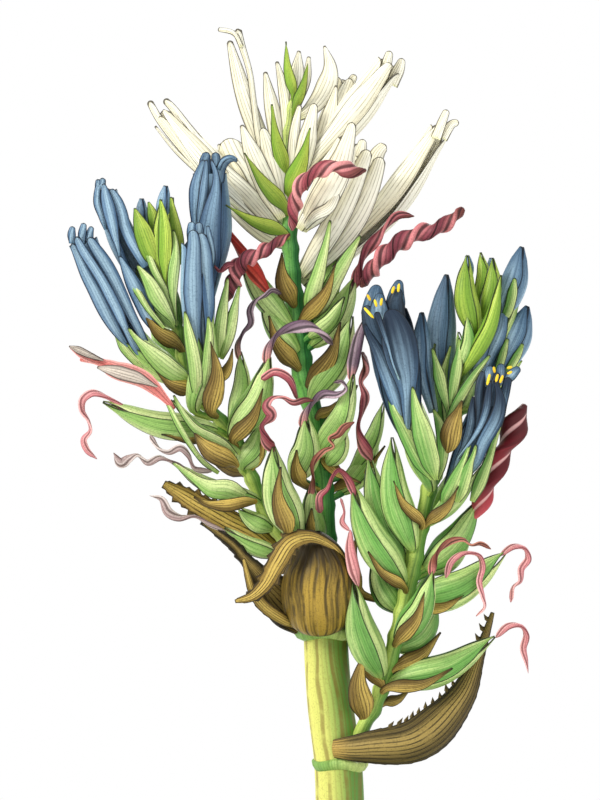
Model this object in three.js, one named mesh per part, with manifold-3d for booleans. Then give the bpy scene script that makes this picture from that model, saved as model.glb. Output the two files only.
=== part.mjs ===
// Potted Puya caerulea: a terracotta pot of soil, a rosette of spiny strap leaves and one tall scape.
// The scape's panicle has a main axis and two side sprays of florets.
// Each floret sits in a green calyx with a brown bract under it.
// Millimetres, +Z up, pot standing on z = 0 around the Z axis. The showiest side of the panicle faces -Y.
import * as THREE from "three";
import Module from "manifold-3d";

const wasm = await Module();
wasm.setup();

// Driving dimensions
const POT_HEIGHT = 125;
const POT_TOP_RADIUS = 75;
const POT_FOOT_RADIUS = 50;
const POT_WALL = 5;
const POT_FLOOR = 6;
const POT_BAND = 24; // height of the thick rim band
const DRAIN_RADIUS = 4;
const DRAIN_CIRCLE = 25; // distance of each drain hole from the pot's middle
const SOIL_TOP = 112;
const LEAF_COUNT = 21;
const LEAF_LENGTH = 196;
const LEAF_HALF_WIDTH = 12;
const LEAF_THICKNESS = 2.4;
const SPINE_REACH = 2;
const PANICLE_DATUM = 230; // places on stems and florets count their z from this height
const DEPTH_STRETCH = 1.4; // of the panicle's places along y
const SCAPE_RADIUS = 7.2;
const BLADE_THICKNESS = 0.9;
const CLEARANCE = 0.35; // between pieces that touch

const FRONT = new THREE.Vector3(0, -1, 0);
const GOLDEN_ANGLE = Math.PI * (3 - Math.sqrt(5));

// Closed surface over a row of rings of equal count, with one point at each end
function skin(root, rings, tip) {
  const sides = rings[0].length;
  const points = [root, ...rings.flat(), tip];
  const last = points.length - 1;
  const id = (ring, side) => 1 + ring * sides + (side % sides);
  const faces = [];
  for (let side = 0; side < sides; side++) {
    faces.push(0, id(0, side + 1), id(0, side));
    for (let ring = 0; ring + 1 < rings.length; ring++) {
      const corners = [id(ring, side), id(ring, side + 1), id(ring + 1, side + 1), id(ring + 1, side)];
      faces.push(corners[0], corners[1], corners[2], corners[0], corners[2], corners[3]);
    }
    faces.push(last, id(rings.length - 1, side), id(rings.length - 1, side + 1));
  }
  const vertProperties = new Float32Array(points.flatMap((point) => point.toArray()));
  const triVerts = new Uint32Array(faces);
  return new wasm.Manifold(new wasm.Mesh({ numProp: 3, vertProperties, triVerts }));
}

// Rings lofted along a smooth curve: section(i) gives each ring's offsets [side, front,
// ahead] at stations[i]
function loft(
  points,
  stations,
  section,
  { turn = () => 0, across = null, end = 1, reach = 0.01 } = {},
) {
  const curve = new THREE.CatmullRomCurve3(points, false, "centripetal");
  const rings = stations.map((station, i) => {
    const at = curve.getPointAt(station);
    const along = curve.getTangentAt(station);
    const side = across ?? new THREE.Vector3().crossVectors(FRONT, along).normalize();
    const front = new THREE.Vector3().crossVectors(along, side).normalize();
    const cos = Math.cos(turn(station));
    const sin = Math.sin(turn(station));
    return section(i).map(([a, b, ahead = 0]) =>
      at
        .clone()
        .addScaledVector(side, a * cos - b * sin)
        .addScaledVector(front, a * sin + b * cos)
        .addScaledVector(along, ahead),
    );
  });
  const root = curve.getPointAt(0).addScaledVector(curve.getTangentAt(0), -reach);
  const tip = curve.getPointAt(end).addScaledVector(curve.getTangentAt(end), reach);
  return skin(root, rings, tip);
}

const inPanicle = (places) =>
  places.map(([x, y, z]) => new THREE.Vector3(x, y * DEPTH_STRETCH, z + PANICLE_DATUM));

// Each shape below is a function of its growth in mm,
// so that a piece and the room it needs come from one rule.

// Round body with a profile of [station, radius]; lobes makes an open mouth of pointed rim tips,
// flat its depth
function pod(points, profile, { sides = 5, lobes = 0, sunk = 0.7, flat = 1 } = {}) {
  const stations = profile.map(([station]) => station);
  return (growth = 0) => {
    const open = lobes > 0 && growth === 0;
    const section = (i) =>
      Array.from({ length: sides }, (_, k) => {
        const angle = ((k + 0.5) / sides) * 2 * Math.PI;
        const radius = profile[i][1] + growth;
        const atRim = lobes > 0 && i === profile.length - 1;
        const ahead = atRim ? (k % 2 ? -lobes : lobes * 0.6) : 0;
        return [radius * Math.cos(angle), (radius * flat + growth * (1 - flat)) * Math.sin(angle),
          ahead];
      });
    return loft(points, stations, section, { end: open ? sunk : 1, reach: 0.01 + growth * 1.5 });
  };
}

// Thin boat-shaped blade with a profile of [station, half width]; cup bulges it to the front,
// teeth notch it
function blade(points, profile, { cup = 0.45, thickness = BLADE_THICKNESS, teeth = 0 } = {}) {
  return (growth = 0) => {
    const section = (i) => {
      const width = profile[i][1] + growth + (i % 2 ? teeth : 0);
      const middle = profile[i][1] * cup;
      const half = thickness / 2 + growth * 1.4;
      return [
        [width, 0],
        [0, middle + half],
        [-width, 0],
        [0, middle - half],
      ];
    };
    const stations = profile.map(([station]) => station);
    return loft(points, stations, section, { reach: 0.01 + growth * 1.5 });
  };
}

// Half width at a station of a course through places [x, y, z, half width]
function halfWidthAt(places, station) {
  const along = station * (places.length - 1);
  const i = Math.min(Math.floor(along), places.length - 2);
  return THREE.MathUtils.lerp(places[i][3], places[i + 1][3], along - i);
}

// Spent corolla: a soft ribbon through places [x, y, z, half width], twisted along its length
function ribbon(places, { turns = 0.5, flat = 0.45, start = 0, steps = 7 } = {}) {
  const stations = Array.from({ length: steps }, (_, i) => 0.02 + (0.94 * i) / (steps - 1));
  return (growth = 0) => {
    const section = (i) => {
      const halfWidth = halfWidthAt(places, stations[i]);
      const width = halfWidth + growth;
      const depth = Math.max(halfWidth * flat, 0.5) + growth;
      return [
        [width, 0],
        [0, depth],
        [-width, 0],
        [0, -depth],
      ];
    };
    const turn = (station) => start - turns * 2 * Math.PI * station;
    return loft(inPanicle(places), stations, section, { turn, reach: 0.01 + growth * 1.5 });
  };
}

// Stem through places [x, y, z, radius]
function limb(places, sides = 8) {
  const points = inPanicle(places);
  const curve = new THREE.CatmullRomCurve3(points, false, "centripetal");
  const stepsPerSpan = 20;
  const lengths = curve.getLengths((places.length - 1) * stepsPerSpan);
  const profile = places.map(([, , , radius], i) => [
    lengths[i * stepsPerSpan] / lengths.at(-1),
    radius,
  ]);
  return pod(points, profile, { sides });
}

// Place on a stem's course at height z
function onStem(stem, z) {
  const i = Math.max(1, stem.findIndex((place) => place[2] >= z));
  const [low, high] = [stem[i - 1], stem[i]];
  const share = THREE.MathUtils.clamp((z - low[2]) / (high[2] - low[2]), 0, 1);
  return low.slice(0, 3).map((value, axis) => THREE.MathUtils.lerp(value, high[axis], share));
}

// Course of a floret from its stem: out along a short stalk,
// then bowed to its lower side and up to its tip
function floretCourse(stem, [x0, y0, z0, x1, y1, z1], bow = 0.07) {
  const lean = x1 < x0 ? -1 : 1;
  const middle = [
    (x0 + x1) / 2 + bow * lean * (z1 - z0),
    (y0 + y1) / 2 - bow * 0.5 * Math.abs(z1 - z0),
    (z0 + z1) / 2 - bow * lean * (x1 - x0),
  ];
  const foot = onStem(stem, z0 - 3);
  const root = [x0, y0, z0];
  const stalk = Math.hypot(...root.map((value, axis) => value - foot[axis]));
  const body = Math.hypot(x1 - x0, y1 - y0, z1 - z0);
  const share = THREE.MathUtils.clamp(stalk / (stalk + body), 0.05, 0.6);
  return { points: inPanicle([foot, root, middle, [x1, y1, z1]]), share };
}

const STALK_RADIUS = 1;

// Closed calyx or bud of three pressed sepals
function calyx(stem, row) {
  const { points, share } = floretCourse(stem, row);
  const radius = row[6];
  const on = (station) => share + (1 - share) * station;
  return pod(points, [
    [0, STALK_RADIUS],
    [on(0), radius * 0.56],
    [on(0.38), radius],
    [on(0.74), radius * 0.68],
  ]);
}

// Calyx whose three sepal tips stand open round a corolla
function openCalyx(stem, row) {
  const { points, share } = floretCourse(stem, row);
  const radius = row[6];
  const on = (station) => share + (1 - share) * station;
  const profile = [
    [0, STALK_RADIUS],
    [on(0), radius * 0.56],
    [on(0.42), radius],
    [on(0.85), radius * 0.78],
  ];
  return pod(points, profile, { sides: 6, lobes: 2.6, sunk: on(0.6) });
}

// Small boat-shaped bract that cups a floret's foot
function bract(stem, row) {
  const { points, share } = floretCourse(stem, row, 0.1);
  const width = row[6];
  const on = (station) => share + (1 - share) * station;
  return blade(points, [
    [0.02, STALK_RADIUS],
    [on(0), width * 0.6],
    [on(0.35), width],
    [on(0.7), width * 0.66],
  ]);
}

// The same row on the far side of a stem that runs at depth y
const behind = (depth) => (row) =>
  row.map((value, i) => (i === 1 || i === 4 ? 2 * depth - value : value));

// Corolla from its root to its mouth, with three lobes; closed buds end in a point
function corolla([x0, y0, z0, x1, y1, z1, radius], { open = true, bow = 0.05, flat = 0.9 } = {}) {
  const lean = x1 < x0 ? -1 : 1;
  const middle = [
    (x0 + x1) / 2 + bow * lean * (z1 - z0),
    (y0 + y1) / 2,
    (z0 + z1) / 2 - bow * lean * (x1 - x0),
  ];
  const points = inPanicle([[x0, y0, z0], middle, [x1, y1, z1]]);
  const profile = [
    [0, radius * 0.32],
    [0.3, radius * 0.7],
    [0.62, radius],
    open ? [0.96, radius * 0.82] : [0.86, radius * 0.62],
  ];
  const mouth = open ? { lobes: radius * 0.45, sunk: 0.82 } : {};
  return pod(points, profile, { sides: 6, flat, ...mouth });
}

const fuse = (shapes, growth) => wasm.Manifold.union(shapes.map((shape) => shape(growth)));

// Stems. Each place is [x, y, z, radius], z from the panicle's datum.
const SCAPE = [
  [0, 0, -130, 8.6],
  [0, 0, -60, 7.8],
  [0, 0, 0, SCAPE_RADIUS],
  [-2.7, 0, 21.6, 6.8],
  [-3.9, 0, 42, 6.6],
  [-3.6, 0, 50, 4.4],
  [-3.5, 0, 59.1, 2.8],
  [-3.8, 0, 78.6, 2.5],
  [-6.8, 0, 104.1, 2.6],
  [-10.6, 0, 119, 3.3],
  [-12.6, 0, 134, 2.9],
  [-13.6, 0, 145, 2.5],
  [-14.7, 0, 162, 2],
  [-15.9, 0, 183.6, 1.3],
  [-13.5, 0, 204, 0.9],
  [-12.6, 0, 211.2, 0.7],
];
const LEFT_STEM = [
  [-5, -1, 50, 2.2],
  [-12.9, -4, 59.1, 2.1],
  [-16.2, -5, 69.6, 2],
  [-21.3, -5.5, 77.1, 2],
  [-31.5, -6.5, 100.5, 1.8],
  [-44.1, -7.5, 116.4, 1.7],
  [-48.9, -8, 137.1, 1.4],
  [-51.9, -8.5, 150.6, 1.1],
];
const RIGHT_STEM = [
  [4, -1, 5, 2.4],
  [8.1, -4, 15.6, 2.1],
  [10.5, -4, 19.5, 2],
  [16.8, -5.5, 39.6, 2.3],
  [21.6, -6.5, 60, 2.3],
  [27.3, -7.5, 87.3, 2.1],
  [34.8, -8.5, 111.6, 1.7],
  [40.5, -9.5, 138.6, 1.2],
];

// Pot: a tapered wall, a thick rim band, a floor and four drain holes around its solid middle
function circle(radius, z, sides) {
  return Array.from({ length: sides }, (_, k) => {
    const angle = (2 * Math.PI * k) / sides;
    return new THREE.Vector3(radius * Math.cos(angle), radius * Math.sin(angle), z);
  });
}

function spun(profile, sides) {
  const ends = [profile[0], profile.at(-1)].map(([, z]) => new THREE.Vector3(0, 0, z));
  return skin(ends[0], profile.map(([radius, z]) => circle(radius, z, sides)), ends[1]);
}

const POT_SIDES = 32;
const BAND_FOOT = POT_HEIGHT - POT_BAND;
const wallSlope = (POT_TOP_RADIUS - 9 - POT_FOOT_RADIUS) / BAND_FOOT;
const outerAt = (z) => POT_FOOT_RADIUS + wallSlope * z;

function makePot() {
  const outside = spun(
    [
      [POT_FOOT_RADIUS - 2, 0],
      [outerAt(2), 2],
      [outerAt(BAND_FOOT), BAND_FOOT],
      [POT_TOP_RADIUS - 1.5, BAND_FOOT + 1.5],
      [POT_TOP_RADIUS, BAND_FOOT + 4],
      [POT_TOP_RADIUS, POT_HEIGHT - 2.5],
      [POT_TOP_RADIUS - 2, POT_HEIGHT],
    ],
    POT_SIDES,
  );
  const inside = spun(
    [
      [outerAt(POT_FLOOR) - POT_WALL - 2, POT_FLOOR],
      [outerAt(POT_FLOOR + 2) - POT_WALL, POT_FLOOR + 2],
      [outerAt(BAND_FOOT) - POT_WALL, BAND_FOOT],
      [POT_TOP_RADIUS - 7, POT_HEIGHT - 1.5],
      [POT_TOP_RADIUS - 5, POT_HEIGHT + 1],
    ],
    POT_SIDES,
  );
  let pot = outside.subtract(inside);
  for (let k = 0; k < 4; k++) {
    const angle = ((k + 0.5) * Math.PI) / 2;
    const hole = spun([[DRAIN_RADIUS, -1], [DRAIN_RADIUS, POT_FLOOR + 1]], 14);
    const [x, y] = [DRAIN_CIRCLE * Math.cos(angle), DRAIN_CIRCLE * Math.sin(angle)];
    pot = pot.subtract(hole.translate([x, y, 0]));
  }
  return pot;
}

// Soil: fills the pot to its band, and heaps a little towards the plant
function makeSoil() {
  return spun(
    [
      [outerAt(POT_FLOOR) - POT_WALL - 2.4, POT_FLOOR + CLEARANCE],
      [outerAt(POT_FLOOR + 2) - POT_WALL - 0.4, POT_FLOOR + 2],
      [outerAt(BAND_FOOT) - POT_WALL - 0.4, BAND_FOOT],
      [outerAt(BAND_FOOT) - POT_WALL + 0.1, SOIL_TOP - 3],
      [48, SOIL_TOP - 1],
      [26, SOIL_TOP + 1.5],
    ],
    24,
  );
}

// Rosette: strap leaves in a golden-angle spiral on a short crown, the inner ones steeper and shorter
function makeLeaf(index) {
  const age = index / (LEAF_COUNT - 1); // 0 at the heart, 1 at the outside
  const heading = index * GOLDEN_ANGLE + 0.35;
  const length = LEAF_LENGTH * (0.6 + 0.4 * Math.sin(Math.PI * Math.min(0.5, age * 0.62 + 0.02)));
  const firstRise = 1.22 - 0.62 * age;
  const lastRise = -0.25 - 0.75 * age;
  const steps = 7;
  let reach = 5 + 5 * age;
  let height = SOIL_TOP + 9 - 7 * age;
  const points = [];
  for (let k = 0; k <= steps; k++) {
    points.push(new THREE.Vector3(reach * Math.cos(heading), reach * Math.sin(heading), height));
    const rise = THREE.MathUtils.lerp(firstRise, lastRise, (k + 0.5) / steps);
    reach += (Math.cos(rise) * length) / steps;
    height += (Math.sin(rise) * length) / steps;
  }
  const rings = 13;
  const profile = Array.from({ length: rings }, (_, i) => {
    const along = i / rings;
    const width = LEAF_HALF_WIDTH * (0.72 + 0.5 * along) * (1 - along) ** 0.72 * (0.86 + 0.14 * age);
    return [0.01 + 0.98 * along, Math.max(width, 1), along];
  });
  const across = new THREE.Vector3(-Math.sin(heading), Math.cos(heading), 0);
  return (growth = 0) => {
    const section = (i) => {
      const [, width, along] = profile[i];
      const spine = i % 2 && i > 1 ? SPINE_REACH * (1 - 0.5 * along) : 0;
      const gutter = -0.3 * width;
      const half = (LEAF_THICKNESS / 2) * (1 - 0.55 * along) + growth;
      return [
        [width + spine + growth, 0],
        [0, gutter + half],
        [-width - spine - growth, 0],
        [0, gutter - half],
      ];
    };
    const stations = profile.map(([station]) => station);
    return loft(points, stations, section, { across, reach: 0.01 + growth });
  };
}

function makeCrown(growth = 0) {
  return spun(
    [
      [7 + growth, SOIL_TOP - 8 - growth],
      [15 + growth, SOIL_TOP - 3],
      [16 + growth, SOIL_TOP + 4],
      [13.5 + growth, SOIL_TOP + 14],
      [9.5 + growth, SOIL_TOP + 22 + growth],
    ],
    14,
  );
}

const rosette = [makeCrown, ...Array.from({ length: LEAF_COUNT }, (_, index) => makeLeaf(index))];

// Florets of the left spray. Rows are root x, y, z, tip x, y, z and radius.
const LEFT_OPEN_CALYCES = [
  [-45, -9, 116.7, -63.3, -11, 132.6, 5.1],
  [-48.9, -9, 133.5, -60.6, -10, 150.9, 4.2],
  [-44.1, -5, 128.1, -40.2, -2, 146.1, 3.8],
  [-42.9, -9, 108.6, -40.8, -14, 136.8, 4.6],
  [-38.1, -7, 113.1, -32.1, -8, 146.7, 3.6],
];
const LEFT_CALYCES = [
  [-31.5, -8, 100.5, -20.7, -13, 124.5, 4.5],
  [-31.8, -8, 104.1, -29.4, -6, 126, 2.7],
  [-36.9, -9, 102.6, -70.2, -10, 111, 4.5],
  [-30.3, -9, 96.6, -49.8, -15, 111.6, 3.2],
  [-24.6, -9, 81.9, -49.5, -11, 93, 5],
  [-20.1, -6, 73.2, -30.3, -6, 79.5, 2.7],
  [-13.6, -9, 72, -19.6, -17, 97.8, 5],
  [-28.8, -7, 91.2, -23.1, -6, 104.4, 3.6],
  [-18.3, -8, 65.7, -34.2, -8, 73.5, 2.4],
];
const LEFT_BUDS = [
  [-53.4, -8, 149.1, -60.3, -8, 168, 3.3],
  [-51.3, -10, 144.6, -52.8, -12, 171, 2.5],
  [-48.3, -7, 152, -49.5, -7, 171.9, 2.2],
  [-48, -9, 134.1, -47.7, -12, 158.7, 2.4],
  [-49.2, -9, 134.1, -57.6, -12, 156.3, 2.6],
];
const LEFT_BRACTS = [
  [-43.8, -10, 114.6, -55.7, -14, 121.4, 3],
  [-47.7, -10, 127.8, -59.4, -13, 139.5, 2.7],
  [-38.1, -12, 109.2, -37.5, -17, 129, 3.3],
  [-31.5, -11, 99.9, -21.6, -17, 116.7, 2.7],
  [-36.6, -9, 102.3, -54.5, -13, 101.3, 2.5],
  [-29.1, -12, 90.6, -42.9, -17, 101.4, 3.6],
  [-25.6, -8.6, 82.4, -43.5, -14, 84, 2.4],
  [-15, -12, 75.3, -17.2, -22.5, 90, 3.4],
  [-26.1, -7, 91.2, -22.2, -10, 102.3, 1.8],
];
const LEFT_BACK = [LEFT_CALYCES[0], LEFT_CALYCES[3], LEFT_CALYCES[6]];
const leftSpray = {
  core: limb(LEFT_STEM),
  shapes: [
    ...LEFT_OPEN_CALYCES.map((row) => openCalyx(LEFT_STEM, row)),
    ...LEFT_CALYCES.map((row) => calyx(LEFT_STEM, row)),
    ...LEFT_BUDS.map((row) => calyx(LEFT_STEM, row)),
    ...LEFT_BRACTS.map((row) => bract(LEFT_STEM, row)),
    ...LEFT_BACK.map(behind(-5)).map((row) => calyx(LEFT_STEM, row)),
    bract(LEFT_STEM, behind(-5)(LEFT_BRACTS[5])),
    calyx(LEFT_STEM, [-44, -5, 118, -56, 6, 138, 4]),
    calyx(LEFT_STEM, [-48, -5, 134, -53, 3, 158, 3]),
  ],
};

// Florets of the right spray
const RIGHT_OPEN_CALYCES = [
  [27.3, -10, 87.3, 20.7, -15, 116, 4.8],
  [30.9, -8, 104.1, 30.6, -9, 128, 4.6],
  [26.7, -9, 77.1, 40.5, -12, 99.8, 4.4],
  [41, -6, 112, 52.5, -5, 130.3, 4],
  [44, -6, 126, 52.4, -5, 149, 3],
];
const RIGHT_CALYCES = [
  [12.3, -7, 30, 4.2, -11, 57.4, 4.8],
  [15.3, -5, 27, 46.4, -5, 41, 4.4],
  [17.7, -8, 40.5, 27.6, -14, 61, 4],
  [21.3, -5, 50.1, 49.8, -4, 66.2, 5],
  [17.7, -3, 37.2, 29.7, 2, 49.2, 4.6],
  [18.9, -8, 57.3, 3.9, -12, 86.5, 5],
  [17.7, -4, 48.6, 9.9, -3, 63, 3.6],
  [19.8, -5, 63.6, 8.7, -6, 95.2, 4.2],
  [21.9, -8, 67.2, 15.6, -9, 100.5, 4.5],
  [25.5, -5, 61.5, 41.7, -5, 81.6, 4.2],
];
const RIGHT_BUDS = [
  [39.9, -11, 131.1, 37.8, -12, 154.5, 3.3],
  [42.6, -9, 136, 45.6, -10, 153.6, 2.7],
  [41.7, -8, 140, 42, -8, 155.5, 2.2],
  [36.9, -12, 120, 47.7, -15, 148.5, 2.2],
];
const RIGHT_BRACTS = [
  [7.7, -4.8, 17, 7.6, -12, 40, 4],
  [12.9, -6, 26.4, 3.6, -8, 41.1, 2],
  [14.7, -8, 26.1, 35.7, -11, 32.7, 2.2],
  [13.5, -3, 21, 21.9, -2, 25.2, 1.8],
  [17.7, -12, 40.8, 25.8, -18, 56.7, 2.6],
  [24.9, -7, 49.5, 38.4, -9, 54, 2.2],
  [17.1, -6, 32.1, 31.8, -3, 43.2, 2.7],
  [18.9, -11, 56.4, 7.2, -16, 68.1, 1.9],
  [24.3, -12, 75.6, 15, -15, 89.1, 1.9],
  [30.6, -11, 96.9, 36, -15, 109.5, 2.8],
  [26.7, -12, 75.9, 36, -16, 87.3, 2.1],
  [6.3, -3, 54, 5.1, -5, 73.2, 2.6],
];
const RIGHT_BACK = [0, 2, 5].map((i) => RIGHT_CALYCES[i]);
const rightSpray = {
  core: limb(RIGHT_STEM),
  shapes: [
    ...RIGHT_OPEN_CALYCES.map((row) => openCalyx(RIGHT_STEM, row)),
    ...RIGHT_CALYCES.map((row) => calyx(RIGHT_STEM, row)),
    ...RIGHT_BUDS.map((row) => calyx(RIGHT_STEM, row)),
    ...RIGHT_BRACTS.map((row) => bract(RIGHT_STEM, row)),
    ...RIGHT_BACK.map(behind(-5)).map((row) => calyx(RIGHT_STEM, row)),
    bract(RIGHT_STEM, behind(-5)(RIGHT_BRACTS[4])),
    calyx(RIGHT_STEM, [29, -5, 88, 24, 5, 112, 4]),
    calyx(RIGHT_STEM, [34, -6, 106, 36, 3, 132, 4]),
    calyx(RIGHT_STEM, [28, -4, 76, 38, 4, 96, 4]),
  ],
};

// Scape and main axis with their spent florets; a collar stands out under the spathe and at the right spray
const CENTRE_CALYCES = [
  [-5.6, -2, 68, -8.1, -7, 87.2, 3.3],
  [-12, -4, 88.2, -9.9, -10, 106.9, 4.2],
  [-5.7, -5, 96, 4.2, -13, 119.2, 3.6],
  [-7.8, -3, 112.5, 3.9, -6, 136.6, 4.2],
  [-8.1, -1, 128.1, 4.8, -3, 148.3, 4],
  [-8.8, -1, 135.6, -2.7, -9, 165, 4.6],
  [-14.7, -2, 133.8, -29.5, -2, 158, 3.5],
  [-12.9, -2, 126.6, -23.1, -3, 141.6, 3.2],
  [3.5, 1, 90, 13.5, 2, 111, 2.4],
  [1, 1, 84, 11.7, 4, 100.5, 3.3],
];
const CENTRE_BRACTS = [
  [-6.6, -4, 69.5, -8.4, -9, 80.5, 2.6],
  [-11, -7, 87, -12.9, -12, 97.9, 2.6],
  [-14.2, -4, 141.6, -17.4, -10, 157, 3.3],
  [-13, -3, 122.1, -21.9, -7, 138.4, 3],
  [-10.6, -5, 135.9, 0, -13, 154, 2.6],
  [-8.4, -4, 117, 1.2, -13, 136.6, 3.2],
  [-4.5, 0, 104, 6.6, -2, 117.4, 2.1],
  [-2, 0, 84.6, 15.6, 1, 99.3, 1.8],
  [-5.2, -3, 95, 7.8, -7, 86, 2.2],
];
const TOP_BRACTS = [
  [-15.9, -2, 179.7, -20.1, -8, 199.6, 2.6],
  [-14.9, -3, 174.6, -8.7, -10, 192.4, 3.3],
  [-16.2, -3, 169.2, -28.2, -9, 185, 2.8],
  [-16.4, -2.4, 161.6, -33.7, -11, 169.4, 2.6],
  [-13.6, -1, 203, -15.9, -3, 218.8, 1.9],
  [-13.4, -1, 198.9, -9.3, -4, 212.2, 1.8],
];
const CENTRE_BACK = [1, 3, 4, 5].map((i) => CENTRE_CALYCES[i]);
const collar = (z, x, radius) =>
  pod(
    inPanicle([[x, 0, z - 1.6], [x, 0, z + 1.6]]),
    [[0, radius - 1.8], [0.3, radius], [0.7, radius], [1, radius - 1.8]],
    { sides: 12 },
  );
const mainStem = {
  core: (growth) => fuse([limb(SCAPE, 10), ...TOP_BRACTS.map((row) => bract(SCAPE, row))], growth),
  shapes: [
    collar(43, -4.4, 8.8),
    collar(2.4, 0.4, 8.2),
    ...CENTRE_CALYCES.map((row) => calyx(SCAPE, row)),
    ...CENTRE_BRACTS.map((row) => bract(SCAPE, row)),
    ...CENTRE_BACK.map(behind(0)).map((row) => calyx(SCAPE, row)),
    ...[CENTRE_BRACTS[2], CENTRE_BRACTS[5]].map(behind(0)).map((row) => bract(SCAPE, row)),
    ...TOP_BRACTS.slice(0, 2).map(behind(0)).map((row) => bract(SCAPE, row)),
  ],
};

// Large bracts on the scape: the spathe bulges round the left spray's foot,
// the others are toothed blades
function toothed(places, rings, options) {
  const stations = Array.from({ length: rings }, (_, i) => 0.01 + (0.95 * i) / (rings - 1));
  const profile = stations.map((station) => [station, halfWidthAt(places, station)]);
  return blade(inPanicle(places), profile, options);
}

const LARGE_BRACTS = {
  spathe: [
    pod(
      inPanicle([[-5, -6, 42.6], [-6.2, -8, 54], [-6.6, -9, 64], [-7.6, -10, 72.6]]),
      [[0, 6.6], [0.16, 9.2], [0.38, 10.8], [0.62, 10.2], [0.85, 7.6]],
      { sides: 12, flat: 0.85 },
    ),
    toothed([[-6, -9, 68, 1.4], [-8.4, -13, 74.4, 1.4], [-13.8, -16, 73.6, 1.8], [-18.2, -16, 65.6, 3.2],
      [-21.6, -15.6, 57.6, 2.2], [-26, -15, 51.6, 0.8]], 9, { teeth: 0.6, cup: 0.25, thickness: 1.2 }),
  ],
  bract_outer_left: [
    toothed([[-10.5, -4, 44.1, 5], [-17.2, -8, 51.6, 6.5], [-25.2, -10, 60.6, 5],
      [-30.3, -10, 67.2, 3.4], [-40.8, -9, 74.1, 0.7]], 9, { teeth: 0.8, cup: -0.5, thickness: 1.2 },
    ),
  ],
  bract_upper_left: [
    toothed([[-12, -2, 60.4, 3], [-25.2, -2, 71.4, 3.6], [-34.2, -3, 78, 3.2], [-41.7, -4, 81.6, 3],
      [-47.7, -4, 85.2, 2.6], [-51.9, -4, 87, 0.8]], 11, { teeth: 0.9, cup: 0.3, thickness: 1 },
    ),
  ],
  bract_lower_right: [
    toothed([[-1.5, -5.4, 7.6, 2.6], [7.8, -7.6, 8.2, 5.4], [22.8, -8, 10.5, 7], [36.3, -3, 22.5, 4.6],
      [43, 1, 38, 1.8], [46.2, 2, 47.7, 0.5]], 17, { teeth: 0.9, cup: 0.6, thickness: 1.2 },
    ),
  ],
  bract_scape_low: [
    toothed([[1, -6.6, -98, 6], [2.5, -7.4, -78, 6.4], [5, -9.6, -54, 4.4], [8, -14, -34, 1.2]], 11, {
      teeth: 0.8,
      cup: 0.2,
      thickness: 1.4,
    }),
  ],
  bract_scape_high: [
    (growth = 0) =>
      toothed([[1, -6.2, -74, 5.6], [-1.5, -7, -56, 6], [-4, -8.6, -34, 3.8], [-6, -12, -18, 1]], 11, {
        teeth: 0.8,
        cup: 0.2,
        thickness: 1.4,
      })(growth)
        .translate([0, 0, -PANICLE_DATUM])
        .rotate([0, 0, 150])
        .translate([0, 0, PANICLE_DATUM]),
  ],
};

// Corollas of the three parts of the panicle. Rows are root x, y, z, mouth x, y, z and radius.
const BLUE_BLOOMS = {
  left_bloom_1: corolla([-50.1, -9.5, 120.5, -76.8, -12, 163.2, 5.9]),
  left_bloom_2: corolla([-50.3, -9.3, 136, -70.5, -10, 175.5, 4.6]),
  left_bloom_3: corolla([-43.7, -4.6, 131, -38.7, -6, 184.5, 5.6]),
  left_bloom_4: corolla([-42.8, -10.6, 114, -42.9, -15.5, 162, 4.7]),
  right_bloom_1: corolla([26.6, -11.5, 93, 12.3, -17, 144.6, 7.4], { bow: 0 }),
  right_bloom_2: corolla([29.5, -10.5, 108, 24, -12, 138.4, 2.8], { open: false }),
  right_bloom_3: corolla([32, -6.5, 108, 31.2, -7, 150.4, 4.4], { open: false }),
  right_bloom_4: corolla([45.6, -5.6, 131, 54.6, -5, 157.3, 3.6], { open: false }),
  right_bloom_5: corolla([37.6, -4.6, 113.5, 49.4, -1, 142, 4.6], { open: false }),
  right_bloom_6: corolla([43.6, -5.6, 116.5, 56.4, -5, 139.6, 3.8], { open: false }),
  right_bloom_7: corolla([28.8, -9.4, 81, 48.8, -14, 120, 5.8]),
};
const petal = (places, roll = 0) => ribbon(places, { turns: 0, flat: 0.35, start: roll, steps: 6 });
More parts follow.
